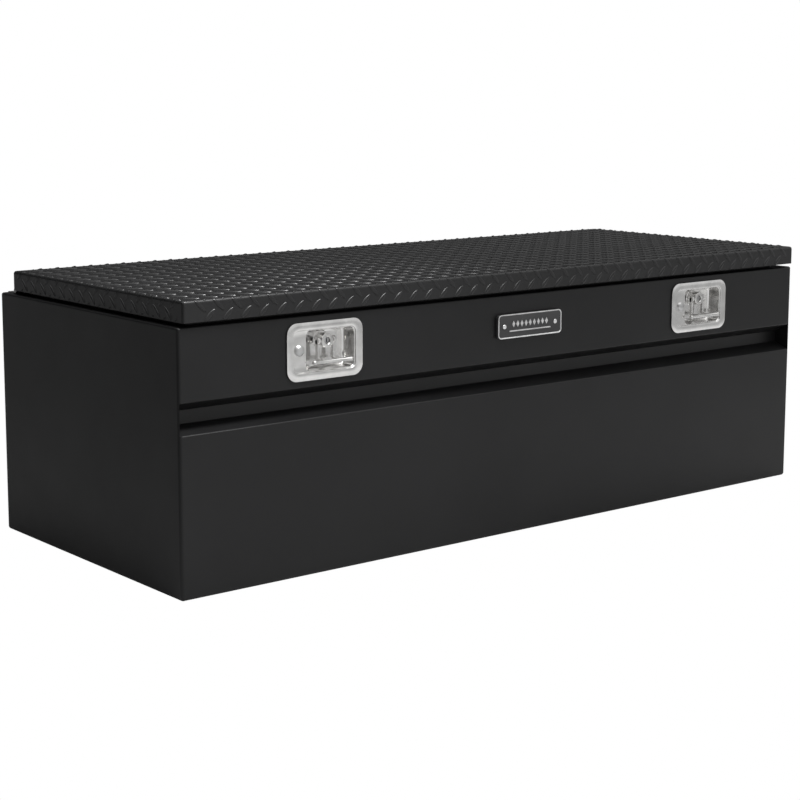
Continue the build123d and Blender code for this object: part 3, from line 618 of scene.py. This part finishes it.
@dataclass
class TreadLid:
    """The lid's raised diamond lugs, which run over its top and down its skirts."""

    wardrobe: Wardrobe
    pitch: float = 35.3 * MM
    length: float = 31.0 * MM
    width: float = 8.4 * MM
    rise: float = 1.5 * MM
    root: float = 0.4 * MM
    edge_radius: float = 5.0 * MM
    hem: float = 1.0 * MM
    segments: int = 12
    bend_cuts: int = 4
    point: float = 0.3
    smooth: float = math.radians(60)
    shoulders: tuple[tuple[float, float, float], ...] = ((0.88, 0.74, 0.62), (0.80, 0.50, 0.38))

    def __post_init__(self) -> None:
        """Reads the lid's box."""
        self.low, self.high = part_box("lid_skin")
        self.centre = (self.low + self.high) / 2
        self.half = (self.high - self.low) / 2
        self.flat_x = self.half.x - self.edge_radius
        self.flat_y = self.half.y - self.edge_radius
        self.arc = self.edge_radius * math.pi / 2
        self.skirt = self.high.z - self.low.z - self.edge_radius - self.hem

    def lug(self) -> bpy.types.Mesh:
        """One lug along +X: a pointed oval with two shoulders and a narrow crown.

        Returns:
            Its mesh, with its root just under the plate's surface. The face that the second shoulder
            rises from stays inside it.
        """
        bm = bmesh.new()
        verts = bmesh.ops.create_circle(bm, cap_ends=True, segments=self.segments, radius=1.0)["verts"]
        for vert in verts:
            vert.co.y *= abs(vert.co.y) ** self.point
        bmesh.ops.scale(bm, vec=(self.length / 2, self.width / 2, 1), verts=verts)
        bmesh.ops.translate(bm, vec=(0, 0, -self.root), verts=verts)
        face = bm.faces[:][0]
        bottom = face
        climb = self.root
        for shrink_x, shrink_y, share in self.shoulders:
            made = bmesh.ops.extrude_face_region(bm, geom=[face], use_keep_orig=face is bottom)["geom"]
            fresh = [item for item in made if isinstance(item, BMVert)]
            bmesh.ops.scale(bm, vec=(shrink_x, shrink_y, 1), verts=fresh)
            bmesh.ops.translate(bm, vec=(0, 0, climb + self.rise * share), verts=fresh)
            face = next(item for item in made if isinstance(item, BMFace))
            climb = 0.0
        bmesh.ops.recalc_face_normals(bm, faces=bm.faces)
        mesh = bpy.data.meshes.new("lug_pattern")
        bm.to_mesh(mesh)
        bm.free()
        return mesh

    def places(self) -> list[tuple[float, float, float]]:
        """Finds where the lugs lie on the unfolded plate.

        Returns:
            Each lug's centre and direction, as (x, y, angle).
        """
        past = self.arc + self.skirt + self.length
        columns = math.ceil((self.flat_x + past) / self.pitch)
        rows = math.ceil((self.flat_y + past) / self.pitch)
        found = []
        for column in range(-columns, columns + 1):
            for row in range(-rows, rows + 1):
                for shift, angle in ((0.0, math.pi / 4), (0.5, -math.pi / 4)):
                    found.append(((column + shift) * self.pitch, (row + shift) * self.pitch, angle))
        return found

    def inside(self, x: float, y: float) -> bool:
        """True if a lug at this centre is on the flat top alone."""
        reach = self.length / 2 / math.sqrt(2)
        return abs(x) + reach < self.flat_x and abs(y) + reach < self.flat_y

    def wraps(self, x: float, y: float) -> bool:
        """Tells whether a lug runs over one edge, or lies on one skirt, clear of the notched corners.

        Args:
            x: Its centre to the right.
            y: Its centre to the back.

        Returns:
            True if it does.
        """
        reach = self.length / 2 / math.sqrt(2) + self.width / 3
        over_x, over_y = abs(x) + reach > self.flat_x, abs(y) + reach > self.flat_y
        end_x, end_y = self.flat_x + self.arc + self.skirt, self.flat_y + self.arc + self.skirt
        return over_x != over_y and abs(x) - reach < end_x and abs(y) - reach < end_y

    def lay(self, bm: BMesh, pattern: bpy.types.Mesh, places: list[tuple[float, float, float]]) -> None:
        """Repeats the lug at each place, on the unfolded plate.

        Args:
            bm: Where they are laid; nothing has been taken out of it.
            pattern: The lug's mesh.
            places: Each lug's centre and direction.
        """
        for x, y, angle in places:
            known = len(bm.verts)
            bm.from_mesh(pattern)
            bm.verts.ensure_lookup_table()
            move = Matrix.Translation((x, y, 0)) @ Matrix.Rotation(angle, 4, "Z")
            bmesh.ops.transform(bm, matrix=move, verts=bm.verts[known:])

    def cut(self, bm: BMesh) -> None:
        """Cuts the lugs along the bends' lines, and ends them at the hems, where some ends stay open.

        Args:
            bm: The lugs on the unfolded plate.
        """
        for axis, flat in ((Vector((1, 0, 0)), self.flat_x), (Vector((0, 1, 0)), self.flat_y)):
            for side in (-1, 1):
                for step in range(self.bend_cuts + 1):
                    place = axis * side * (flat + self.arc * step / self.bend_cuts)
                    geom = bm.verts[:] + bm.edges[:] + bm.faces[:]
                    bmesh.ops.bisect_plane(bm, geom=geom, plane_co=place, plane_no=axis)
                geom = bm.verts[:] + bm.edges[:] + bm.faces[:]
                hem = axis * side * (flat + self.arc + self.skirt)
                made = bmesh.ops.bisect_plane(
                    bm, geom=geom, plane_co=hem, plane_no=axis * side, clear_outer=True,
                )
                edges = [item for item in made["geom_cut"] if isinstance(item, BMEdge)]
                bmesh.ops.holes_fill(bm, edges=edges, sides=0)

    def folded(self, along: float, flat: float) -> tuple[float, float, float]:
        """Where a distance along the unfolded plate ends up.

        Args:
            along: The distance from the lid's middle.
            flat: How far the flat top reaches.

        Returns:
            The distance outward, the drop, and the angle that the surface has turned.
        """
        over = abs(along) - flat
        if over <= 0:
            return along, 0.0, 0.0
        side = math.copysign(1.0, along)
        turn = min(over / self.edge_radius, math.pi / 2)
        out = flat + self.edge_radius * math.sin(turn)
        drop = self.edge_radius * (1 - math.cos(turn)) + max(0.0, over - self.arc)
        return side * out, drop, side * turn

    def fold(self, bm: BMesh) -> None:
        """Folds the lugs over the lid's edges.

        Args:
            bm: The lugs on the unfolded plate.
        """
        for vert in bm.verts:
            x, drop_x, turn_x = self.folded(vert.co.x, self.flat_x)
            y, drop_y, turn_y = self.folded(vert.co.y, self.flat_y)
            rise = vert.co.z
            vert.co = (
                x + rise * math.sin(turn_x),
                y + rise * math.sin(turn_y),
                -drop_x - drop_y + rise * math.cos(turn_x) * math.cos(turn_y),
            )

    def build(self) -> None:
        """Makes the lugs and seats them on the lid."""
        pattern = self.lug()
        flat, edge = bmesh.new(), bmesh.new()
        for bm, fits in ((flat, self.inside), (edge, self.wraps)):
            self.lay(bm, pattern, [place for place in self.places() if fits(*place[:2])])
        self.cut(edge)
        self.fold(edge)
        bpy.data.meshes.remove(pattern)
        for bm, name in ((flat, "lid_top_lugs"), (edge, "lid_edge_lugs")):
            bmesh.ops.translate(bm, vec=(self.centre.x, self.centre.y, self.high.z), verts=bm.verts)
            piece = make_piece(bm, name, self.wardrobe.materials["lid_tread_plate"], self.smooth)
            seat(piece, "lid")


# ---------------------------------------------------------------- latches


class Side(Enum):
    """Which of the two latches."""

    LEFT = "left"
    RIGHT = "right"


@dataclass
class Latch:
    """A recessed folding T-handle latch: pressed pan, hub, lock cylinder, handle and shelf bolt.

    Sizes are in the latch's own frame, with +X right, +Y up and +Z outward from the front panel.
    """

    side: Side
    wardrobe: Wardrobe
    flange_radius: float = 20 * MM
    tub: tuple[float, float] = (130.4 * MM, 72.4 * MM)
    tub_radius: float = 11 * MM
    shelf: float = 27 * MM
    ledge: float = 1.6 * MM
    floor: float = -28 * MM
    flange_roll: float = 1.2 * MM
    pocket_roll: float = 1.6 * MM
    floor_fillet: float = 7.0 * MM
    draft: float = 1.0 * MM
    sheet: float = 1.4 * MM
    rim_round: tuple[tuple[float, float], ...] = ((0.0, 0.8 * MM), (-0.3 * MM, 0.25 * MM), (-1.0 * MM, 0.0))
    boss: tuple[float, float] = (16.0 * MM, 1.0 * MM)
    boss_slope: float = 1.2 * MM
    hub_radius: float = 13 * MM
    hub_edge: float = 1.6 * MM
    hub_gap: float = 0.3 * MM
    spindle_radius: float = 8 * MM
    stud_radius: float = 5.5 * MM
    stud_length: float = 8 * MM
    key_radius: float = 5.5 * MM
    key_sink: float = 3.2 * MM
    key_gap: float = 0.2 * MM
    countersink: tuple[float, float] = (1.5 * MM, 1.1 * MM)
    keyway: tuple[float, float] = (1.6 * MM, 6.6 * MM)
    keyway_radius: float = 0.7 * MM
    keyway_lip: float = 0.4 * MM
    keyway_depth: float = 5 * MM
    arm_gap: float = 0.4 * MM
    arm_width: float = 5.5 * MM
    arm_depth: float = 7.0 * MM
    arm_boss: float = 7.0 * MM
    bar_radius: float = 3.8 * MM
    ball_radius: float = 4.3 * MM
    cast_edge: float = 0.9 * MM
    dome_rim: float = 0.8 * MM
    bolt_shank: float = 4 * MM
    bolt_sink: float = 1.0 * MM
    solid_bar: float = 4 * MM

    def __post_init__(self) -> None:
        """Reads the latch's places from its solids."""
        low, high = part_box(self.node("pan"))
        self.flange = (high.x - low.x, high.z - low.z)
        self.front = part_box("front_panel")[0].y
        self.face = self.front - low.y
        self.centre = Vector(((low.x + high.x) / 2, self.front, (low.z + high.z) / 2))
        self.hub, (self.nose, self.tail) = self.spot("hub")
        self.pivot = sum(self.spot("trunnions")[1]) / 2
        handle_low, handle_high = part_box(self.node("handle"))
        self.bar_up = handle_low.z - self.centre.z + self.solid_bar
        self.bar_out = self.front - handle_low.y - self.solid_bar
        self.bar_half = (handle_high.x - handle_low.x) / 2

    def node(self, part: str) -> str:
        """The full name of one of this latch's solids."""
        return f"latch_{self.side.value}_{part}"

    def spot(self, part: str) -> tuple[tuple[float, float], tuple[float, float]]:
        """Where a solid is in the latch's frame.

        Args:
            part: The solid's short name.

        Returns:
            Its middle to the right and upward, and its outer and inner levels.
        """
        low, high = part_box(self.node(part))
        middle = ((low.x + high.x) / 2 - self.centre.x, (low.z + high.z) / 2 - self.centre.z)
        return middle, (self.front - low.y, self.front - high.y)

    def put(self, bm: BMesh, part: str, body: str, slot: str) -> bpy.types.Object:
        """Places, dresses and seats one piece, which stands for its solid.

        Args:
            bm: The piece in the latch's own frame.
            part: Its solid's short name.
            body: The short name of the body that it rides on, or "body".
            slot: The material slot.

        Returns:
            The piece.
        """
        onto_front(bm, self.centre)
        piece = make_piece(bm, self.node(f"{part}_form"), self.wardrobe.materials[slot])
        seat(piece, body if body == "body" else self.node(body), (self.node(part),))
        return piece

    def pan(self) -> None:
        """The pressed pan: a flat flange, a shallow shelf on the left and a deep pocket."""
        bm = bmesh.new()
        face = self.face
        rim = Loop(*self.flange, self.flange_radius, face)
        tub = Loop(*self.tub, self.tub_radius, face)
        width = self.tub[0] - self.shelf - self.ledge
        pocket = Loop(width, self.tub[1] - 2 * self.ledge, self.tub_radius - self.ledge, 0.0,
                      (self.tub[0] - width) / 2 - self.ledge)
        rungs = [rim.grown(by, face - drop) for by, drop in ((0.0, self.sheet), *self.rim_round)]
        rungs += roll(tub, self.flange_roll, face, inward=True)
        rungs += roll(tub, self.flange_roll, self.flange_roll, inward=False)
        rungs += roll(pocket, self.pocket_roll, 0.0, inward=True)
        base = pocket.grown(-self.draft, 0.0)
        rungs += roll(base, self.floor_fillet, self.floor + self.floor_fillet, inward=False, steps=6)
        rings = [rung.ring(bm) for rung in rungs]
        count = len(rings[-1])
        radius, rise = self.boss
        for around, level in ((radius, 0.0), (radius - self.boss_slope, rise), (self.spindle_radius, rise)):
            rings.append(circle_ring(bm, around, self.floor + level, *self.hub, count))
        bridge(bm, rings)
        face_outward(bm, Vector((0, self.flange[1] / 2 - 5 * MM, face)))
        piece = self.put(bm, "pan", "body", "pan_stainless")
        wall = piece.modifiers.new("wall", "SOLIDIFY")
        wall.thickness = self.sheet
        wall.offset = -1.0

    def hub_form(self) -> None:
        """The turning hub: a rounded nose, a countersunk bore for the lock and the spindle."""
        bm = bmesh.new()
        edge = self.hub_edge
        back = self.floor + self.hub_gap
        stud = self.tail + self.stud_length
        bore = self.nose - 2 * self.key_sink
        wall = self.key_radius + self.key_gap
        profile = [(0.0, self.tail), (self.stud_radius, self.tail)]
        profile += [(self.stud_radius, stud), (self.spindle_radius, stud)]
        profile += [(self.spindle_radius, back), (self.hub_radius, back)]
        profile += rounded((self.hub_radius - edge, self.nose - edge), edge, 5, 0.0)
        across, deep = self.countersink
        profile += [(self.key_radius + across, self.nose), (wall, self.nose - deep)]
        profile += [(wall, bore), (0.0, bore)]
        lathe(bm, profile, self.hub)
        face_outward(bm, Vector((self.hub[0] + self.hub_radius - 2 * edge, self.hub[1], self.nose)))
        self.put(bm, "hub", "spindle", "handle_stainless")

    def key_form(self) -> None:
        """The lock cylinder, sunk in the hub, with a chamfered rim and a keyway."""
        bm = bmesh.new()
        slit = Loop(*self.keyway, self.keyway_radius, 0.0, *self.hub, 3)
        face = self.nose - self.key_sink
        count = 4 * (slit.steps + 1)
        back = self.spot("key_cylinder")[1][1]
        rungs = [(0.6, back), (1.0, back), (1.0, face - 0.6 * MM), (0.9, face)]
        rings = [circle_ring(bm, self.key_radius * share, level, *self.hub, count) for share, level in rungs]
        lip, deep = self.keyway_lip, self.keyway_depth
        rings += [slit.grown(by, face - drop).ring(bm) for by, drop in ((lip, 0.0), (0.0, lip), (0.0, deep))]
        bridge(bm, rings)
        cap(bm, rings[0])
        cap(bm, rings[-1])
        face_outward(bm, Vector((self.hub[0] + self.key_radius * 0.7, self.hub[1], face)))
        self.put(bm, "key_cylinder", "key", "key_chrome")

    def arm(self, bm: BMesh, start: float) -> None:
        """One arm of the handle: a round pivot boss, a leg down the hub's side and a foot out to the bar.

        Args:
            bm: Where it is made, with +X up, +Y outward and +Z to the right.
            start: The arm's left side.
        """
        half = self.arm_depth / 2
        outline = [
            (self.hub[1], self.pivot - half), (self.hub[1], self.pivot + half),
            (self.bar_up + half, self.pivot + half), (self.bar_up + half, self.bar_out),
            (self.bar_up - half, self.bar_out), (self.bar_up - half, self.pivot),
            (self.bar_up, self.pivot - half),
        ]
        before = set(bm.verts)
        face = bm.faces.new([bm.verts.new((*point, start)) for point in outline])
        made = bmesh.ops.extrude_face_region(bm, geom=[face], use_keep_orig=True)["geom"]
        moved = [item for item in made if isinstance(item, BMVert)]
        bmesh.ops.translate(bm, vec=(0, 0, self.arm_width), verts=moved)
        fresh = [vert for vert in bm.verts if vert not in before]
        faces = list({item for vert in fresh for item in vert.link_faces})
        bmesh.ops.recalc_face_normals(bm, faces=faces)
        edges = list({edge for vert in fresh for edge in vert.link_edges})
        bmesh.ops.bevel(
            bm, geom=edges, offset=self.cast_edge, offset_type="OFFSET", affect="EDGES",
            segments=3, profile=0.5, material=-1, clamp_overlap=True,
        )
        edge = self.cast_edge
        low, high = start, start + self.arm_width
        profile = [(0.0, low), (self.arm_boss - edge, low)]
        profile += rounded((self.arm_boss - edge, low + edge), edge, 3, -90.0)
        profile += rounded((self.arm_boss - edge, high - edge), edge, 3, 0.0) + [(0.0, high)]
        lathe(bm, profile, (self.hub[1], self.pivot), 32)

    def handle_form(self) -> None:
        """The folding T handle: two arms and a round bar with ball ends."""
        bm = bmesh.new()
        inside = self.hub_radius + self.arm_gap
        for start in (self.hub[0] - inside - self.arm_width, self.hub[0] + inside):
            self.arm(bm, start)
        ball = self.ball_radius
        neck = math.asin(self.bar_radius / ball)
        reach = self.bar_half - ball
        turns = [neck + (math.pi - neck) * step / 8 for step in range(9)]
        right = [(ball * math.sin(turn), reach - ball * math.cos(turn)) for turn in turns]
        profile = [(radius, -level) for radius, level in reversed(right)] + right
        verts = lathe(bm, profile, (self.bar_up, self.bar_out), 32)
        bmesh.ops.translate(bm, vec=(0, 0, self.hub[0]), verts=verts)
        bmesh.ops.recalc_face_normals(bm, faces=bm.faces)
        upright = Matrix(((0, 0, 1, 0), (1, 0, 0, 0), (0, 1, 0, 0), (0, 0, 0, 1)))
        bmesh.ops.transform(bm, matrix=upright, verts=bm.verts)
        self.put(bm, "handle", "handle", "handle_stainless")

    def bolt_form(self) -> None:
        """The dome-headed bolt in the shelf."""
        bm = bmesh.new()
        place, (crown, tail) = self.spot("shelf_bolt")
        low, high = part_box(self.node("shelf_bolt"))
        head = (high.x - low.x) / 2
        rise = crown - self.dome_rim
        profile = [(0.0, tail), (self.bolt_shank, tail), (self.bolt_shank, -self.bolt_sink)]
        profile += [(head, -self.bolt_sink), (head, self.dome_rim * 0.6)]
        for step in range(9):
            turn = math.pi / 2 * step / 8
            profile.append(((head - 0.3 * MM) * math.cos(turn), self.dome_rim + rise * math.sin(turn)))
        lathe(bm, profile, place, 36)
        face_outward(bm, Vector((*place, crown)))
        self.put(bm, "shelf_bolt", "body", "zinc_plate")

    def build(self) -> None:
        """Makes the whole latch."""
        self.pan()
        self.hub_form()
        self.key_form()
        self.handle_form()
        self.bolt_form()


# ---------------------------------------------------------------- badge


@dataclass
class Badge:
    """The front badge: a dark plate with a bright raised border, two rivets and plain raised marks."""

    wardrobe: Wardrobe
    radius: float = 8 * MM
    border: float = 2.4 * MM
    sink: float = 1.2 * MM
    edge: float = 0.8 * MM
    skirt: float = 2.5 * MM
    tuck: float = 0.4 * MM
    marks: int = 9
    mark: tuple[float, float] = (7.6 * MM, 12.5 * MM)
    pitch: float = 10.4 * MM
    mark_up: float = 3.6 * MM
    mark_rise: float = 0.9 * MM
    bar: tuple[float, float] = (104 * MM, 2.4 * MM)
    bar_up: float = -9.0 * MM
    rivet_radius: float = 4.4 * MM
    rivet_rise: float = 1.9 * MM

    def __post_init__(self) -> None:
        """Reads the badge's place from its solids."""
        low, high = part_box("badge_plate")
        self.front = high.y
        self.centre = Vector(((low.x + high.x) / 2, self.front, (low.z + high.z) / 2))
        self.size = (high.x - low.x, high.z - low.z)
        self.face = self.front - low.y
        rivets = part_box("badge_rivets")
        self.rivet_right = (rivets[1].x - rivets[0].x) / 2 - self.rivet_radius

    def put(self, bm: BMesh, name: str, slot: str, replaced: tuple[str, ...] = ()) -> None:
        """Places, dresses and seats one piece of the badge.

        Args:
            bm: The piece in the badge's own frame.
            name: Its name.
            slot: Its material slot.
            replaced: The solids that it stands for.
        """
        bmesh.ops.remove_doubles(bm, verts=bm.verts, dist=1e-6)
        bmesh.ops.recalc_face_normals(bm, faces=bm.faces)
        onto_front(bm, self.centre)
        seat(make_piece(bm, name, self.wardrobe.materials[slot]), "body", replaced)

    def plate(self) -> None:
        """The dark plate inside the border."""
        bm = bmesh.new()
        rim = Loop(*self.size, self.radius, self.face)
        inner = rim.grown(-self.border, self.face - self.sink)
        rungs = [rim.grown(-self.tuck, 0.2 * MM), rim.grown(-self.tuck, self.face - self.edge)]
        rungs += [inner.grown(0.3 * MM, self.face - self.sink)]
        rings = [rung.ring(bm) for rung in rungs]
        bridge(bm, rings)
        cap(bm, rings[0])
        cap(bm, rings[-1])
        self.put(bm, "badge_plate_form", "badge_black", ("badge_plate",))

    def frame(self) -> None:
        """The bright raised border."""
        bm = bmesh.new()
        rim = Loop(*self.size, self.radius, self.face)
        steps = (
            (0.0, self.skirt),
            (0.0, self.edge),
            (-self.edge * 0.3, self.edge * 0.3),
            (-self.edge, 0.0),
            (-self.border + 0.5 * MM, 0.0),
            (-self.border, 0.5 * MM),
            (-self.border - 0.2 * MM, self.sink + 0.2 * MM),
            (-self.border + 0.6 * MM, self.skirt),
        )
        rings = [rim.grown(by, self.face - drop).ring(bm) for by, drop in steps]
        bridge(bm, rings + rings[:1])
        self.put(bm, "badge_border", "rivet_aluminium")

    def raised(self, bm: BMesh, outline: list[BMVert], slope: float) -> None:
        """Raises a flat outline into a mark with sloping sides.

        Args:
            bm: Where it is.
            outline: The vertices of its one face.
            slope: How much smaller its top is.
        """
        face = outline[0].link_faces[0]
        made = bmesh.ops.extrude_face_region(bm, geom=[face], use_keep_orig=True)["geom"]
        top = [item for item in made if isinstance(item, BMVert)]
        middle = sum((vert.co for vert in top), Vector()) / len(top)
        bmesh.ops.translate(bm, vec=(0, 0, self.mark_rise), verts=top)
        for vert in top:
            away = vert.co - middle
            away.z = 0
            vert.co -= away.normalized() * slope

    def marking(self) -> None:
        """A plain row of raised diamonds over a bar."""
        bm = bmesh.new()
        level = self.face - self.sink - 0.1 * MM
        for index in range(self.marks):
            verts = bmesh.ops.create_circle(bm, cap_ends=True, segments=4, radius=0.5)["verts"]
            bmesh.ops.scale(bm, vec=(*self.mark, 1), verts=verts)
            place = (index - (self.marks - 1) / 2) * self.pitch
            bmesh.ops.translate(bm, vec=(place, self.mark_up, level), verts=verts)
            self.raised(bm, verts, 0.5 * MM)
        verts = list(Loop(*self.bar, 0.8 * MM, level, 0.0, self.bar_up, 3).draw(bm).verts)
        self.raised(bm, verts, 0.3 * MM)
        self.put(bm, "badge_marking", "rivet_aluminium")

    def rivets(self) -> None:
        """The two domed rivet heads."""
        bm = bmesh.new()
        level = self.face - self.sink
        profile = [(0.0, level - 0.3 * MM), (self.rivet_radius, level - 0.3 * MM)]
        for step in range(8):
            turn = math.pi / 2 * step / 7
            height = level + 0.2 * MM + self.rivet_rise * math.sin(turn)
            profile.append((self.rivet_radius * math.cos(turn), height))
        for side in (-1, 1):
            lathe(bm, profile, (side * self.rivet_right, 0.0), 28)
        self.put(bm, "badge_rivet_heads", "rivet_aluminium", ("badge_rivets",))

    def build(self) -> None:
        """Makes the whole badge."""
        self.plate()
        self.frame()
        self.marking()
        self.rivets()


# ---------------------------------------------------------------- studio


@dataclass
class Studio:
    """The pale floor, the soft light and the camera."""

    azimuth: float = 38.375
    elevation: float = 8.216
    eye: tuple[float, float, float] = (-2.2529, -2.7084, 0.8444)
    lens: float = 80.08
    shift: tuple[float, float] = (0.0264, -0.0803)
    floor_size: float = 60.0
    backdrop: float = 1.0
    # Painted light on the floor's base colour: the dark and light ends of its painted pool of light, and how
    # far it is darkened far off as painted shade.
    floor_painted_shade: float = 0.28
    floor_painted_light: float = 0.88
    floor_painted_falloff: float = 0.5
    front_glow: float = 0.68
    back_glow: float = 0.05
    top_glow: float = 1.6
    sky_span: tuple[float, float] = (-0.25, 0.75)
    dome_span: tuple[float, float] = (0.66, 0.82)
    floor_span: tuple[float, float] = (-1.0, 1.6)
    fall_span: tuple[float, float] = (2.0, 4.0)
    sky_turn: float = 0.6
    below: float = 0.2 * MM
    lamp_offset: tuple[float, float, float] = (0.35, -0.55, 1.5)
    lamp_size: float = 0.35
    lamp_power: float = 4.0
    lamp_spread: float = 60.0

    def camera(self) -> None:
        """Sets the camera at its viewing angle."""
        data = bpy.data.cameras.new("camera")
        data.lens = self.lens
        data.shift_x, data.shift_y = self.shift
        data.clip_end = 200.0
        camera = bpy.data.objects.new("camera", data)
        camera.location = self.eye
        camera.rotation_euler = (math.radians(90 - self.elevation), 0, -math.radians(self.azimuth))
        bpy.context.scene.collection.objects.link(camera)
        bpy.context.scene.camera = camera

    def sky(self) -> None:
        """A white backdrop, with a softer glow from the front and above to light the box."""
        world = bpy.data.worlds.new("studio")
        bpy.context.scene.world = world
        world.use_nodes = True
        tree = world.node_tree
        direction = tree.nodes.new("ShaderNodeTexCoord").outputs["Generated"]
        split = tree.nodes.new("ShaderNodeSeparateXYZ")
        tree.links.new(direction, split.inputs[0])
        sideways = add_math(tree, "MULTIPLY", split.outputs["X"], self.sky_turn)
        forward = add_math(tree, "SUBTRACT", sideways, split.outputs["Y"])
        front = add_range(tree, forward, self.sky_span, (self.back_glow, self.front_glow))
        top = add_range(tree, split.outputs["Z"], self.dome_span, (0.0, self.top_glow))
        glow = add_math(tree, "ADD", front, top)
        seen = tree.nodes.new("ShaderNodeLightPath").outputs["Is Camera Ray"]
        strength = tree.nodes.new("ShaderNodeMix")
        tree.links.new(seen, strength.inputs["Factor"])
        tree.links.new(glow, strength.inputs["A"])
        strength.inputs["B"].default_value = self.backdrop
        background = tree.nodes["Background"]
        background.inputs["Color"].default_value = (1, 1, 1, 1)
        tree.links.new(strength.outputs["Result"], background.inputs["Strength"])

    def floor(self) -> None:
        """A pale floor that meets the backdrop without a line; its base colour holds a painted pool of
        light, lightest just in front of the box, with painted shade behind it and far off.
        """
        bm = bmesh.new()
        bmesh.ops.create_grid(bm, x_segments=1, y_segments=1, size=self.floor_size / 2)
        lowest = cad_box[0].z
        bmesh.ops.translate(bm, vec=(0, 0, lowest - self.below), verts=bm.verts)
        material = bpy.data.materials.new("floor_paper_painted_pool")
        material.use_nodes = True
        tree = material.node_tree
        shader = tree.nodes["Principled BSDF"]
        place = tree.nodes.new("ShaderNodeSeparateXYZ")
        tree.links.new(tree.nodes.new("ShaderNodeTexCoord").outputs["Object"], place.inputs[0])
        # Painted light: the floor's base colour is lightest in front of the box and darker behind it and far
        # away, painted shade where less light would fall, seen in what the box reflects.
        forward = add_math(tree, "SUBTRACT", place.outputs["X"], place.outputs["Y"])
        painted_pool = add_range(tree, forward, self.floor_span, (self.floor_painted_shade, self.floor_painted_light))
        painted_falloff = add_range(tree, forward, self.fall_span, (1.0, self.floor_painted_falloff))
        tone = add_math(tree, "MULTIPLY", painted_pool, painted_falloff)
        tree.links.new(tone, shader.inputs["Base Color"])
        shader.inputs["Roughness"].default_value = 0.9
        shader.inputs["Specular IOR Level"].default_value = 0.0
        glow = tree.nodes.new("ShaderNodeEmission")
        glow.inputs["Strength"].default_value = self.backdrop
        seen = tree.nodes.new("ShaderNodeLightPath").outputs["Is Camera Ray"]
        blend = tree.nodes.new("ShaderNodeMixShader")
        tree.links.new(seen, blend.inputs[0])
        tree.links.new(shader.outputs[0], blend.inputs[1])
        tree.links.new(glow.outputs[0], blend.inputs[2])
        tree.links.new(blend.outputs[0], tree.nodes["Material Output"].inputs["Surface"])
        make_piece(bm, "floor", material)

    def lamp(self) -> None:
        """Adds one soft light above the left front corner."""
        aim = Vector((cad_box[0].x, cad_box[0].y, cad_box[1].z * 0.6))
        place = aim + Vector(self.lamp_offset)
        data = bpy.data.lights.new("left_softbox", "AREA")
        data.size = self.lamp_size
        data.energy = self.lamp_power
        data.spread = math.radians(self.lamp_spread)
        lamp = bpy.data.objects.new("left_softbox", data)
        lamp.location = place
        lamp.rotation_euler = (aim - place).to_track_quat("-Z", "Y").to_euler()
        bpy.context.scene.collection.objects.link(lamp)

    def build(self) -> None:
        """Sets up the whole studio."""
        self.camera()
        self.sky()
        self.floor()
        self.lamp()
        bpy.context.scene.view_settings.view_transform = "Standard"
        log.info("studio: camera at azimuth %.1f, elevation %.1f", self.azimuth, self.elevation)


def main() -> None:
    """Builds the tool box's looks and the studio round it."""
    wardrobe = Wardrobe()
    wardrobe.dress_all()
    TreadLid(wardrobe).build()
    for side in Side:
        Latch(side, wardrobe).build()
    Badge(wardrobe).build()
    Studio().build()


if __name__ == "__main__":
    main()
